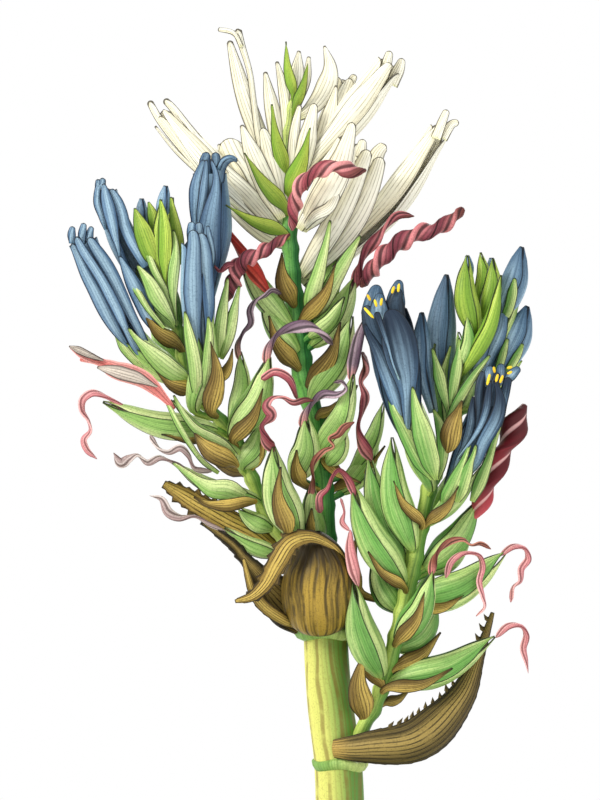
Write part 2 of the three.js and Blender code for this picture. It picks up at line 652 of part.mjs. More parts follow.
const IVORY_BLOOMS = {
  top_bloom_1: [
    petal([[-16.2, -1, 165, 2], [-20, -3, 175, 3.4], [-25, -4, 186, 3.6], [-28.8, -5, 194.5, 1]]),
    petal([[-16.2, -1, 165, 2], [-18, -3, 174, 3.4], [-20, -4, 184, 3.4], [-22, -4, 192, 1]]),
  ],
  top_bloom_2: [corolla([-16.5, 3, 163, -37.2, 8, 191.5, 4.4], { open: false })],
  top_bloom_3: [corolla([-15.5, 1.5, 159.5, -56.1, 5, 202.4, 5.4], { bow: 0.02 })],
  top_bloom_4: [
    petal([[-16.6, 3, 177, 1.6], [-22, 5, 190, 3], [-26.7, 5, 206, 2.6], [-29.4, 4, 218, 2],
      [-35, 3, 223.5, 1]]),
    petal([[-16.6, 3, 177, 1.6], [-19, 6, 190, 2.8], [-20.5, 7, 203, 2.6], [-22, 7, 212, 0.8]]),
  ],
  top_bloom_5: [
    petal([[-13.4, 1, 193, 1.2], [-6.4, 2, 201, 3], [-3.4, 2, 210, 3.3], [-4.4, 2, 219, 0.9]]),
    petal([[-13.4, 1, 193, 1.2], [-11, 3, 203, 2.4], [-10, 4, 212, 2], [-9.4, 4, 217, 0.7]]),
  ],
  top_bloom_6: [corolla([-13.4, -1, 177, 16.6, -2, 214.6, 5.2])],
  top_bloom_7: [corolla([-13, 3, 176, 4.2, 6, 211, 4.6])],
  top_bloom_8: [
    petal([[-14.4, -1, 177.6, 1.6], [-12.6, -4, 186, 3.4], [-9, -5.5, 194, 3.6], [-7.4, -6, 201, 1.2]]),
    petal([[-14.4, -1, 177.6, 1.6], [-10, -3, 186, 3.2], [-5.6, -3.5, 196, 3.6], [-1.4, -4, 206, 1.2]]),
  ],
  top_bloom_9: [corolla([-11.4, -4, 163, 3.6, -14, 193.4, 6.4])],
  top_bloom_10: [
    corolla([-11.6, 2, 149, 9, -4, 188, 5.2]),
    corolla([-11.6, 3, 149, 15.4, 4, 187, 5]),
  ],
  top_bloom_11: [corolla([-10.6, 3, 146, 33.4, 2, 197.4, 4.8])],
};

// Spent corollas: places are x, y, z and half width, from the calyx outwards
const SPENT = {
  left_spent_1: [
    ribbon([[-32.8, -8, 140, 1.2], [-31.6, -10, 146, 2.4], [-27.6, -11, 151.6, 2.8],
      [-20.5, -12, 155, 2.8], [-14.1, -13, 160.2, 1]], { turns: 1, steps: 8 }),
    ribbon([[-29, -10.5, 149, 1.2], [-33, -11.5, 152.6, 1.5], [-38, -12.5, 150.2, 1.2]],
      { turns: 0.2, steps: 4 }),
  ],
  left_spent_2: [ribbon([[-21, -6, 143.4, 0.8], [-24, -6, 148, 2.3], [-28.5, -5, 155, 1.8],
    [-34.5, -3, 163.8, 1.3]], { turns: 0.2, steps: 6 })],
  left_spent_3: [ribbon([[-29.9, -6, 123.4, 0.8], [-29.4, -7, 129.6, 1.1], [-26.1, -8, 133.5, 1.1],
    [-26.4, -8, 139.2, 1.1], [-22.2, -8, 142.2, 1], [-16.9, -8, 143.1, 0.7]], { turns: 1 })],
  left_spent_4: [ribbon([[-21.6, -12.6, 122, 1], [-19.2, -14.5, 128.6, 1.5],
    [-14.1, -15.5, 132.9, 1.8], [-8.1, -16, 133.8, 1.9], [-2, -16, 128.4, 1]], { turns: 1 })],
  left_spent_5: [ribbon([[-65, -10, 109.6, 0.9], [-69, -10, 113.2, 1.3], [-74.2, -10, 113, 1.3],
    [-75.6, -9, 107, 1.1], [-76, -9, 100.6, 1.1], [-71.6, -9, 94.2, 0.8]], { turns: 1, steps: 9 })],
  left_spent_6: [ribbon([[-47.9, -14.4, 110.2, 1], [-54.3, -17, 116.1, 3], [-64.2, -18, 122.2, 3],
    [-72.3, -18, 124.4, 2.4], [-80.1, -17, 127.7, 1]], { turns: 0.4, flat: 0.35 })],
  left_spent_7: [ribbon([[-46.4, -11.4, 91.6, 0.9], [-53, -12, 94, 1.2], [-57.6, -12, 92.6, 1.1],
    [-61, -12, 94.8, 1.1], [-67.2, -12, 96, 0.9]], { turns: 1 })],
  left_spent_8: [ribbon([[-37.4, -12.4, 100.6, 0.8], [-42.6, -16.5, 105, 1.1], [-47, -17.5, 98, 1.1],
    [-51.9, -17, 97, 1], [-55.8, -16, 101, 0.8]], { turns: 1 })],
  left_spent_9: [ribbon([[-30.6, -8.6, 71.6, 0.8], [-38.6, -10, 76, 1.1], [-45.9, -10, 76.8, 1.2],
    [-50.1, -10, 81.4, 1.2], [-56.4, -10, 84, 0.8]], { turns: 1 })],
  left_spent_10: [ribbon([[-18.7, -15, 94, 0.9], [-22.2, -18, 101, 1.8], [-21.6, -18.5, 108.6, 1.8],
    [-17, -18.5, 112, 1.3], [-11.4, -18, 108.9, 0.8]], { turns: 0.6 })],
  centre_spent_1: [ribbon([[-10.2, -9, 103, 0.9], [-8.6, -12, 109.6, 1.3], [-3, -13.6, 113.4, 1.3],
    [1.8, -14, 115.4, 1.1], [-0.6, -15, 118.2, 0.7]], { turns: 1 })],
  centre_spent_2: [ribbon([[3.9, -12, 118, 0.9], [4.6, -9.6, 123.6, 1.9], [5.8, -8.4, 130, 1.7],
    [7.4, -8, 135.4, 0.9]], { turns: 0.3, steps: 6 })],
  centre_spent_3: [ribbon([[10, -6, 91.4, 0.8], [6.4, -8, 98.6, 1.7], [5.6, -8, 104.8, 1.2],
    [7, -7.6, 111.6, 1.2], [7, -7.4, 119, 2.4], [6.9, -7, 125.8, 1]], { turns: 0.8, steps: 9 })],
  centre_spent_4: [ribbon([[3.4, -2.4, 145, 0.9], [5.6, -4, 151, 2], [10, -5, 159.6, 1.8],
    [16, -5.6, 164.6, 1.6], [22.8, -6, 167, 0.9]], { turns: 0.9 })],
  centre_spent_5: [ribbon([[4, -3.4, 143, 1], [10, -8.6, 150.6, 2.6], [17.4, -9.6, 157.4, 3],
    [26, -10, 160.6, 3], [36.8, -10, 167.6, 2]], { turns: 1.5, flat: 0.5, steps: 12 })],
  centre_spent_6: [ribbon([[4.9, -12, 82.6, 0.7], [2.4, -14, 89.6, 1.2], [-1.6, -15, 90.6, 1.3],
    [-4.4, -15.6, 85.4, 1.3], [-6.3, -16, 78, 0.8]], { turns: 0.5 })],
  centre_spent_7: [ribbon([[-8, -6.4, 83.4, 0.7], [-7.6, -11.4, 92, 0.9], [-3.6, -14, 98.4, 0.9],
    [-1.4, -14, 101.8, 0.9], [4.2, -14, 105.6, 0.7]], { turns: 0.8 })],
  centre_spent_8: [ribbon([[-3.6, -9, 160, 1], [-13.6, -11, 164, 1.6], [-14.6, -12, 172, 2.1],
    [-9, -13, 177.4, 2.2], [-1, -14, 178.4, 2.6], [7.6, -14, 179.6, 1.2]], { turns: 1, steps: 9 })],
  right_spent_1: [ribbon([[4.6, -10.8, 54, 1], [3.2, -12.4, 62, 1.7], [1.8, -13, 71.1, 1.7],
    [1.5, -13, 78, 0.8]], { turns: 0.3, steps: 6 })],
  right_spent_2: [ribbon([[44, -5, 39.6, 0.8], [49.4, -6, 44.2, 1.3], [53.8, -6, 43, 1.4],
    [54.6, -5, 36.6, 1.2], [56.9, -5, 30, 0.7]], { turns: 0.8 })],
  right_spent_3: [ribbon([[26.9, -13.4, 58.6, 0.9], [28.6, -15, 65.8, 1.4], [33.6, -15.4, 70, 1.3],
    [38.7, -15, 68.7, 0.9], [44.8, -14, 67.8, 0.6]], { turns: 0.8 })],
  right_spent_4: [ribbon([[47, -4, 65, 0.9], [52, -5, 68, 1.2], [56.2, -5, 65.6, 1.2],
    [54.8, -5, 59.4, 1.1], [51.1, -5, 51.2, 0.8]], { turns: 0.8 })],
  right_spent_5: [ribbon([[37, -3, 71, 0.8], [40, -8.4, 65.8, 1.1], [42.9, -9, 62, 1.1],
    [42.6, -9, 54.6, 1.1], [41.2, -8, 47.4, 0.8]], { turns: 0.8 })],
  right_spent_6: [ribbon([[36.4, -5, 76, 1.4], [43, -7, 86, 3.9], [51.4, -8, 98.6, 4.6],
    [57.6, -8, 111.4, 2.4]], { turns: 0.9, flat: 0.4 })],
};

// Every panicle piece in order of right of way: each keeps CLEARANCE to the pieces before it
const TERRACOTTA = new THREE.Color("#b5653a");
const SOIL = new THREE.Color("#3d2c20");
const LEAF = new THREE.Color("#7f9a72");
const STEM_GREEN = new THREE.Color("#6fa045");
const CALYX_GREEN = new THREE.Color("#a3cf62");
const BRACT_BROWN = new THREE.Color("#8a6a23");
const PETAL_BLUE = new THREE.Color("#456c9c");
const PETAL_IVORY = new THREE.Color("#f1ead0");
const SPENT_PINK = new THREE.Color("#a2606c");

const plans = [
  ...Object.entries(LARGE_BRACTS).map(([name, shapes]) => ({ name, shapes, color: BRACT_BROWN })),
  ...Object.entries(BLUE_BLOOMS).map(([name, shape]) => ({ name, shapes: [shape], color: PETAL_BLUE })),
  ...Object.entries(SPENT).map(([name, shapes]) => ({ name, shapes, color: SPENT_PINK })),
  ...Object.entries(IVORY_BLOOMS).map(([name, shapes]) => ({ name, shapes, color: PETAL_IVORY })),
  { name: "left_spray", ...leftSpray, color: CALYX_GREEN },
  { name: "right_spray", ...rightSpray, color: CALYX_GREEN },
  { name: "main_stem", ...mainStem, color: STEM_GREEN },
  { name: "rosette", shapes: rosette, color: LEAF },
];

const meet = (a, b) => [0, 1, 2].every((axis) => a.min[axis] <= b.max[axis] && b.min[axis] <= a.max[axis]);

function largestBody(solid) {
  return solid.decompose().reduce((best, body) => (body.volume() > best.volume() ? body : best));
}

const stems = plans
  .filter(({ core }) => core)
  .map(({ name, core }) => ({ name, solid: core(0), room: core(CLEARANCE) }));
const made = [];
for (const { name, shapes, color } of plans) {
  let body = fuse(shapes, 0);
  const box = body.boundingBox();
  for (const other of made)
    if (meet(box, other.room.boundingBox())) body = body.subtract(other.room);
  for (const stem of stems)
    if (stem.name !== name && meet(box, stem.room.boundingBox())) body = body.subtract(stem.room);
  const own = stems.find((stem) => stem.name === name);
  if (own) {
    let core = own.solid;
    if (name !== "main_stem") core = core.subtract(stems.find((stem) => stem.name === "main_stem").room);
    body = body.add(core);
  }
  body = largestBody(body);
  const room = own ? fuse(shapes, CLEARANCE).add(own.room) : fuse(shapes, CLEARANCE);
  made.push({ name, color, solid: body, room });
}

const rosetteRoom = made.find(({ name }) => name === "rosette").room;
const scapeRoom = stems.find(({ name }) => name === "main_stem").room;
const soil = largestBody(makeSoil().subtract(rosetteRoom).subtract(scapeRoom));

const plant = new THREE.Group();
function addMesh(name, solid, color, roughness) {
  const { vertProperties, triVerts } = solid.getMesh();
  const geometry = new THREE.BufferGeometry();
  geometry.setAttribute("position", new THREE.BufferAttribute(vertProperties, 3));
  geometry.setIndex(new THREE.BufferAttribute(triVerts, 1));
  geometry.computeVertexNormals();
  const material = new THREE.MeshStandardMaterial({ color, roughness, metalness: 0 });
  const mesh = new THREE.Mesh(geometry, material);
  mesh.name = name;
  plant.add(mesh);
}

addMesh("pot", makePot(), TERRACOTTA, 0.9);
addMesh("soil", soil, SOIL, 1);
for (const { name, solid, color } of made) addMesh(name, solid, color, 0.6);

export default plant;
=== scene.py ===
import math
import random

import bpy
import numpy as np
from mathutils import Euler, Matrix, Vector, noise


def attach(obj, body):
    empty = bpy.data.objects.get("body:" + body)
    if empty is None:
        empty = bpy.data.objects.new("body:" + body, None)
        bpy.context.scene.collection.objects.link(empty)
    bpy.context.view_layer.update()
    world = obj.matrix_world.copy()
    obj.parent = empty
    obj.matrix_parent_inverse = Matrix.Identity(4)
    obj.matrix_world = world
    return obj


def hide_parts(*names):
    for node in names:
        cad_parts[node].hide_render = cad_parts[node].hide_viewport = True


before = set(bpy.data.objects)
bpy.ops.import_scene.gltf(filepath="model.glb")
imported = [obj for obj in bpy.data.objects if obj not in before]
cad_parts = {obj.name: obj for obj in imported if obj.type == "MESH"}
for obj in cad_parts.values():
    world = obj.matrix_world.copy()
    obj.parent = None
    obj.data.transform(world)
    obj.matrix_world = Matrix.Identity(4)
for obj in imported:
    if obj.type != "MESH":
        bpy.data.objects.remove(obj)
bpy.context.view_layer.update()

# ---------------------------------------------------------------------------------------------
# Pot: tapered terracotta, pressed and fired in one piece, with a thick rim band, a floor and four
# drain holes. Matt and chalky, with pale lime where water has dried through the wall.
pot_height, pot_top, pot_foot = 0.125, 0.075, 0.050
pot_wall, pot_floor, band_height = 0.005, 0.006, 0.024
drain_radius, drain_circle = 0.004, 0.025
band_foot = pot_height - band_height
wall_flare = (pot_top - 0.009 - pot_foot) / band_foot


def node(tree, kind, inputs=None, **settings):
    """Adds a shader node, sets it up, and feeds each input a value or another node's output."""
    made = tree.nodes.new(kind)
    for name, value in settings.items():
        setattr(made, name, value)
    for name, value in (inputs or {}).items():
        if isinstance(value, bpy.types.NodeSocket):
            tree.links.new(value, made.inputs[name])
        else:
            made.inputs[name].default_value = value
    return made


def rgb(code):
    """Linear colour of a #rrggbb paint."""
    parts = [int(code[i : i + 2], 16) / 255 for i in (1, 3, 5)]
    return [c / 12.92 if c <= 0.04045 else ((c + 0.055) / 1.055) ** 2.4 for c in parts] + [1]


def grains(tree, place, scale, detail=4.0, roughness=0.55):
    """Soft random grains from 0 to 1."""
    inputs = {"Vector": place, "Scale": scale, "Detail": detail, "Roughness": roughness}
    return node(tree, "ShaderNodeTexNoise", inputs).outputs["Fac"]


def stretch(tree, value, low, high, to_low=0.0, to_high=1.0):
    """Brings a value from the range low..high to another range, and clamps it."""
    ends = {"Value": value, 1: low, 2: high, 3: to_low, 4: to_high}
    return node(tree, "ShaderNodeMapRange", ends, interpolation_type="SMOOTHSTEP").outputs[0]


def tint(tree, share, under, over):
    """Lays one colour over another by a share from 0 to 1."""
    return node(tree, "ShaderNodeMix", {0: share, 6: under, 7: over}, data_type="RGBA").outputs[2]


def sums(tree, operation, *values):
    return node(tree, "ShaderNodeMath", dict(enumerate(values)), operation=operation).outputs[0]


def new_finish(name, roughness):
    """A new material, its node tree, its shader and its Object coordinates."""
    material = bpy.data.materials.new(name)
    material.use_nodes = True
    tree = material.node_tree
    shader = tree.nodes["Principled BSDF"]
    shader.inputs["Roughness"].default_value = roughness
    return material, tree, shader, node(tree, "ShaderNodeTexCoord").outputs["Object"]


def coat(tree, shader, colour, height, depth, strength=1.0):
    """Feeds a colour to the shader, and a height as bump of a depth in metres."""
    bump = node(tree, "ShaderNodeBump", {"Height": height, "Distance": depth, "Strength": strength})
    tree.links.new(colour, shader.inputs["Base Color"])
    tree.links.new(bump.outputs["Normal"], shader.inputs["Normal"])


def settle(piece, name, material, slot, *nodes):
    """Names a finished piece, gives it its material and lets it stand for its solids."""
    piece.name = piece.data.name = name
    piece.data.materials.clear()
    piece.data.materials.append(material)
    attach(piece, "root")
    if nodes:
        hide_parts(*nodes)


def pot_outer(height):
    return pot_foot + wall_flare * height


def wall_rings(steps, inward, lowest, highest):
    """Rings up a straight wall, set inward from its outside."""
    heights = np.linspace(lowest, highest, steps)
    return [(pot_outer(height) - inward, height) for height in heights]


pot_rings = [
    (pot_foot - 0.0004, 0.0006),
    *wall_rings(8, 0.0, 0.002, band_foot - 0.0015),
    (pot_outer(band_foot) + 0.0006, band_foot - 0.0003),
]
for inset, rise in ((0.0014, 0.001), (0.0004, 0.0022), (0, 0.004), (-0.0002, 0.012)):
    pot_rings.append((pot_top - inset, band_foot + rise))
for inset, drop in ((0, 0.0025), (0.0006, 0.0008), (0.002, 0), (0.0045, 0), (0.006, 0.0008), (0.0068, 0.003)):
    pot_rings.append((pot_top - inset, pot_height - drop))
pot_rings += [
    *reversed(wall_rings(4, pot_wall, 0.009, band_foot)),
    (pot_outer(pot_floor) - pot_wall - 0.002, pot_floor),
]
bpy.ops.object.select_all(action="DESELECT")
start_radius, start_height = pot_foot - 0.002, 0.0
bpy.ops.mesh.primitive_circle_add(vertices=128, radius=start_radius, fill_type="NGON")
pot = bpy.context.object
bpy.ops.object.mode_set(mode="EDIT")
for radius, height in pot_rings:
    rise = {"value": (0, 0, height - start_height)}
    bpy.ops.mesh.extrude_region_move(TRANSFORM_OT_translate=rise)
    wider = radius / start_radius
    bpy.ops.transform.resize(value=(wider, wider, 1), center_override=(0, 0, height))
    start_radius, start_height = radius, height
bpy.ops.mesh.select_all(action="SELECT")
bpy.ops.mesh.normals_make_consistent(inside=False)
bpy.ops.object.mode_set(mode="OBJECT")
for quarter in range(4):
    bpy.ops.object.select_all(action="DESELECT")
    turned = (quarter + 0.5) * math.pi / 2
    middle = (drain_circle * math.cos(turned), drain_circle * math.sin(turned), pot_floor / 2)
    bpy.ops.mesh.primitive_cylinder_add(
        vertices=28, radius=drain_radius, depth=pot_floor * 3, location=middle
    )
    drill = bpy.context.object
    hole = pot.modifiers.new("drain hole", "BOOLEAN")
    hole.operation, hole.solver, hole.object = "DIFFERENCE", "EXACT", drill
    bpy.context.view_layer.objects.active = pot
    bpy.ops.object.modifier_apply(modifier=hole.name)
    bpy.data.objects.remove(drill)
bpy.ops.object.select_all(action="DESELECT")
pot.select_set(True)
bpy.ops.object.shade_smooth_by_angle(angle=math.radians(35))

terracotta, clay, clay_shader, place = new_finish("terracotta", 0.88)
fired = tint(clay, stretch(clay, grains(clay, place, 9), 0.35, 0.65), rgb("#b1683f"), rgb("#c98459"))
fired = tint(clay, stretch(clay, grains(clay, place, 700, 2), 0.55, 0.75, 0, 0.5), fired, rgb("#8d4d2e"))
height_up = node(clay, "ShaderNodeSeparateXYZ", {"Vector": place}).outputs["Z"]
damp = sums(clay, "ADD", height_up, sums(clay, "MULTIPLY", grains(clay, place, 22), 0.08))
patches = stretch(clay, grains(clay, place, 60), 0.4, 0.6)
lime = sums(clay, "MULTIPLY", stretch(clay, damp, 0.1, 0.05), patches)
fired = tint(clay, sums(clay, "MULTIPLY", lime, 0.45), fired, rgb("#e6d3c0"))
chalky = stretch(clay, grains(clay, place, 40), 0.3, 0.7, 0.8, 0.96)
clay.links.new(chalky, clay_shader.inputs["Roughness"])
waves = {"Vector": place, "Scale": 90.0, "Distortion": 2.0}
thrown = node(clay, "ShaderNodeTexWave", waves, bands_direction="Z").outputs["Fac"]
surface = sums(clay, "ADD", sums(clay, "MULTIPLY", thrown, 0.3), grains(clay, place, 500))
coat(clay, clay_shader, fired, surface, 0.0004, 0.6)
settle(pot, "terracotta_pot", terracotta, "terracotta", "pot")

# ---------------------------------------------------------------------------------------------
# Soil: gritty compost that fills the pot to its band and heaps a little towards the plant, with
# crumbs of bark and white grains of perlite lying on it.
soil_top, soil_sides = 0.112, 96
soil_edge_drop, soil_heap = 0.003, 0.0045
narrow_sheet, thinnest_outline = 0.0024, 0.2  # a narrower sheet has a thinner outline, down to a fifth
luck = random.Random(1837)


def spokes(sides):
    """Angles of a round section's points."""
    return np.arange(sides) * 2 * math.pi / sides


class Tissue:
    """Curved patches and tubes of one tissue in metres, gathered to be one mesh. Each has u across
    it, v along it, a tone of its own and, in a sheet, each point's distance from the margin."""

    def __init__(self):
        self.points, self.faces, self.laid, self.tones, self.margins, self.count = [], [], [], [], [], 0

    def sheet(self, grid, tone=0.5):
        """An open sheet over a grid of points, rows along it and columns across it."""
        rows, columns = grid.shape[:2]
        for row in range(rows - 1):
            for column in range(columns - 1):
                here = self.count + row * columns + column
                self.faces.append((here, here + 1, here + 1 + columns, here + columns))
                u0, u1 = column / (columns - 1), (column + 1) / (columns - 1)
                v0, v1 = row / (rows - 1), (row + 1) / (rows - 1)
                self.laid += [(u0, v0), (u1, v0), (u1, v1), (u0, v1)]
        girth = np.linalg.norm(np.diff(grid, axis=1), axis=2).sum(1)
        girth *= np.clip(narrow_sheet / np.maximum(girth, 0.0001), 1, 1 / thinnest_outline)
        length = np.linalg.norm(np.diff(grid[:, columns // 2], axis=0), axis=1).sum()
        inward = np.minimum(np.arange(columns), np.arange(columns)[::-1]) / (columns - 1)
        to_end = length * (1 - np.arange(rows) / (rows - 1))
        margin = np.minimum(np.outer(girth, inward), to_end[:, None]).ravel()
        self.keep(grid.reshape(-1, 3), tone, margin)

    def tube(self, rings, root, tip, tone=0.5):
        """A closed skin over rings of points, with a pole at each end."""
        rows, sides = rings.shape[:2]
        bottom, top = self.count + rows * sides, self.count + rows * sides + 1
        for side in range(sides):
            after = (side + 1) % sides
            u0, u1 = side / sides, (side + 1) / sides
            self.faces.append((bottom, self.count + after, self.count + side))
            self.laid += [((u0 + u1) / 2, 0), (u1, 0), (u0, 0)]
            for row in range(rows - 1):
                low, high = self.count + row * sides, self.count + (row + 1) * sides
                self.faces.append((low + side, low + after, high + after, high + side))
                v0, v1 = row / (rows - 1), (row + 1) / (rows - 1)
                self.laid += [(u0, v0), (u1, v0), (u1, v1), (u0, v1)]
            last = self.count + (rows - 1) * sides
            self.faces.append((top, last + side, last + after))
            self.laid += [((u0 + u1) / 2, 1), (u0, 1), (u1, 1)]
        self.keep(np.vstack([rings.reshape(-1, 3), root, tip]), tone)

    def keep(self, points, tone, margin=1.0):
        self.points.append(points)
        self.margins.append(np.full(len(points), margin))
        self.tones.append(np.full(len(points), tone))
        self.count += len(points)

    def piece(self, thickness=0.0, angle=60):
        """The gathered mesh as one object; sheets get a thickness in metres."""
        mesh = bpy.data.meshes.new("tissue")
        mesh.from_pydata(np.vstack(self.points).tolist(), [], self.faces)
        mesh.uv_layers.new(name="UVMap").data.foreach_set("uv", np.array(self.laid).ravel())
        for name, values in (("tone", self.tones), ("margin", self.margins)):
            mesh.attributes.new(name, "FLOAT", "POINT").data.foreach_set("value", np.concatenate(values))
        made = bpy.data.objects.new("tissue", mesh)
        bpy.context.collection.objects.link(made)
        bpy.ops.object.select_all(action="DESELECT")
        made.select_set(True)
        bpy.context.view_layer.objects.active = made
        bpy.ops.object.mode_set(mode="EDIT")
        bpy.ops.mesh.select_all(action="SELECT")
        bpy.ops.mesh.normals_make_consistent(inside=False)
        bpy.ops.object.mode_set(mode="OBJECT")
        if thickness:
            wall = made.modifiers.new("thickness", "SOLIDIFY")
            wall.thickness, wall.offset = thickness, 0
            bpy.ops.object.modifier_apply(modifier=wall.name)
        bpy.ops.object.shade_smooth_by_angle(angle=math.radians(angle))
        return made


def ring(radius, height, sides, uneven=0.0):
    """Level ring of points round the Z axis, raised and lowered by an uneven amount."""
    turn = spokes(sides)
    points = np.stack([radius * np.cos(turn), radius * np.sin(turn), np.full(sides, height)], 1)
    if uneven:
        for point in points:
            point[2] += uneven * (noise.noise(Vector(point) * 90) + 0.6 * noise.noise(Vector(point) * 330))
    return points


brim = pot_outer(band_foot) - pot_wall


def heap(share):
    """Height of the soil at a share of the way from its middle to the brim."""
    return soil_top - soil_edge_drop + soil_heap * (1 - share**2)
soil_rings = [
    ring(pot_outer(pot_floor) - pot_wall - 0.0024, pot_floor + 0.0004, soil_sides),
    ring(brim - 0.0004, band_foot, soil_sides),
    ring(brim - 0.0002, soil_top - 0.0034, soil_sides),
]
for share in np.linspace(0.98, 0.05, 34):
    soil_rings.append(ring((brim - 0.0002) * share, heap(share), soil_sides, 0.0011))
compost = Tissue()
compost.tube(np.array(soil_rings), (0, 0, pot_floor + 0.0004), (0, 0, soil_top + 0.0015))

bpy.ops.object.select_all(action="DESELECT")
bpy.ops.mesh.primitive_ico_sphere_add(subdivisions=1, radius=1)
pebble = bpy.context.object
pebble_points = np.array([list(vertex.co) for vertex in pebble.data.vertices])
pebble_faces = [tuple(face.vertices) for face in pebble.data.polygons]
bpy.data.objects.remove(pebble)


def scatter(tissue, count, smallest, largest, flatness):
    """Strews small uneven grains over the soil, half sunk in it."""
    for _ in range(count):
        turn, reach = luck.uniform(0, 2 * math.pi), brim * math.sqrt(luck.uniform(0.02, 0.93))
        size = luck.uniform(smallest, largest)
        shape = np.array([size, size * luck.uniform(0.6, 1), size * flatness * luck.uniform(0.7, 1.2)])
        tilt = Euler([luck.uniform(-0.6, 0.6), luck.uniform(-0.6, 0.6), luck.uniform(0, 6)]).to_matrix()
        middle = [reach * math.cos(turn), reach * math.sin(turn), heap(reach / brim) + size * 0.25]
        points = (pebble_points * shape) @ np.array(tilt).T + np.array(middle)
        for face in pebble_faces:
            tissue.faces.append(tuple(tissue.count + corner for corner in face))
            tissue.laid += [(0, 0), (1, 0), (1, 1)]
        tissue.keep(points, luck.random())


soil_finish, earth, earth_shader, place = new_finish("compost", 0.95)
crumb = tint(earth, stretch(earth, grains(earth, place, 160), 0.35, 0.65), rgb("#2c1f16"), rgb("#59432f"))
crumb = tint(earth, stretch(earth, grains(earth, place, 900, 2), 0.62, 0.72), crumb, rgb("#8b7355"))
coat(earth, earth_shader, crumb, grains(earth, place, 420), 0.0008)
settle(compost.piece(angle=30), "potting_soil", soil_finish, "soil", "soil")


def speckled(name, dark, light, roughness):
    """Finish of loose grains, each with a tone of its own."""
    material, tree, shader, place = new_finish(name, roughness)
    tone = node(tree, "ShaderNodeAttribute", attribute_name="tone").outputs["Fac"]
    colour = tint(tree, tone, rgb(dark), rgb(light))
    colour = tint(tree, stretch(tree, grains(tree, place, 900), 0.4, 0.7, 0, 0.4), colour, rgb(dark))
    coat(tree, shader, colour, grains(tree, place, 1200), 0.0002)
    return material


bark, perlite = Tissue(), Tissue()
scatter(bark, 420, 0.0009, 0.0026, 0.45)
scatter(perlite, 110, 0.0006, 0.0013, 0.9)
settle(bark.piece(angle=20), "bark_crumbs", speckled("bark", "#38281b", "#7a5b3c", 0.9), "soil")
settle(perlite.piece(angle=20), "perlite_grains", speckled("perlite", "#cfc8ba", "#f4f1e9", 0.85), "soil")

# ---------------------------------------------------------------------------------------------
# Rosette: stiff grey-green strap leaves in a spiral on a short crown, the inner ones steeper. Each
# is a gutter with a thick middle, and hooked brown spines stand along both of its margins.
leaf_count, leaf_length, leaf_half_width, leaf_tip = 21, 0.196, 0.012, 0.0006
leaf_thickness, leaf_steps, first_heading = 0.0022, 7, 0.35
crown_height, crown_drop = 0.009, 0.007  # of the youngest leaf's foot, and down from it to the oldest's
spine_length, spine_pitch, margin_wave = 0.0034, 0.0052, 0.0007
outline_reach, outline_full = 0.00039, 0.00018
golden_angle = math.pi * (3 - math.sqrt(5))
FRONT = np.array([0.0, -1.0, 0.0])


def unit(vectors):
    return vectors / np.linalg.norm(vectors, axis=-1, keepdims=True)


class Course:
    """Smooth way through places in metres, read by the share of its length."""

    def __init__(self, places, across=None):
        places = np.array(places, float)
        padded = np.vstack([2 * places[0] - places[1], places, 2 * places[-1] - places[-2]])
        steps = np.linspace(0, 1, 24, endpoint=False)[:, None]
        way = []
        for p0, p1, p2, p3 in zip(padded, padded[1:], padded[2:], padded[3:]):
            gaps = (np.linalg.norm(b - a) for a, b in ((p0, p1), (p1, p2), (p2, p3)))
            gap0, gap1, gap2 = (max(gap**0.5, 1e-4) for gap in gaps)
            leave = ((p1 - p0) / gap0 - (p2 - p0) / (gap0 + gap1) + (p2 - p1) / gap1) * gap1
            arrive = ((p2 - p1) / gap1 - (p3 - p1) / (gap1 + gap2) + (p3 - p2) / gap2) * gap1
            cubic = 2 * (p1 - p2) + leave + arrive
            square = 3 * (p2 - p1) - 2 * leave - arrive
            way.append(p1 + leave * steps + square * steps**2 + cubic * steps**3)
        self.way = np.vstack([*way, places[-1:]])
        spans = np.linalg.norm(np.diff(self.way, axis=0), axis=1)
        self.length = spans.sum()
        self.shares = np.concatenate([[0], np.cumsum(spans)]) / self.length
        self.heading = unit(np.gradient(self.way, axis=0))
        self.across = across

    def at(self, shares):
        """Places, and the directions along, to the side and to the front of the way there."""
        shares = np.asarray(shares, float)

        def read(rows):
            return np.stack([np.interp(shares, self.shares, rows[:, i]) for i in range(3)], -1)

        along = unit(read(self.heading))
        level = self.across is not None
        side = np.broadcast_to(self.across, along.shape) if level else unit(np.cross(FRONT, along))
        beyond = (shares - np.clip(shares, 0, 1))[..., None] * self.length
        return read(self.way) + along * beyond, along, side, unit(np.cross(along, side))


def smooth(profile, stations):
    """Reads a profile of (station, value) at stations, without overshooting between its points."""
    x, y = np.array(profile, float).T
    step = np.diff(x)
    slope = np.diff(y) / step
    turn = slope[:-1] * slope[1:]
    inner = np.where(turn > 0, 2 * turn / np.where(turn > 0, slope[:-1] + slope[1:], 1), 0)
    lean = np.concatenate([[slope[0]], inner, [slope[-1]]])
    stations = np.clip(stations, x[0], x[-1])
    i = np.clip(np.searchsorted(x, stations, side="right") - 1, 0, len(step) - 1)
    t = (stations - x[i]) / step[i]
    return (
        (1 + 2 * t) * (1 - t) ** 2 * y[i]
        + t * (1 - t) ** 2 * step[i] * lean[i]
        + t**2 * (3 - 2 * t) * y[i + 1]
        + t**2 * (t - 1) * step[i] * lean[i + 1]
    )


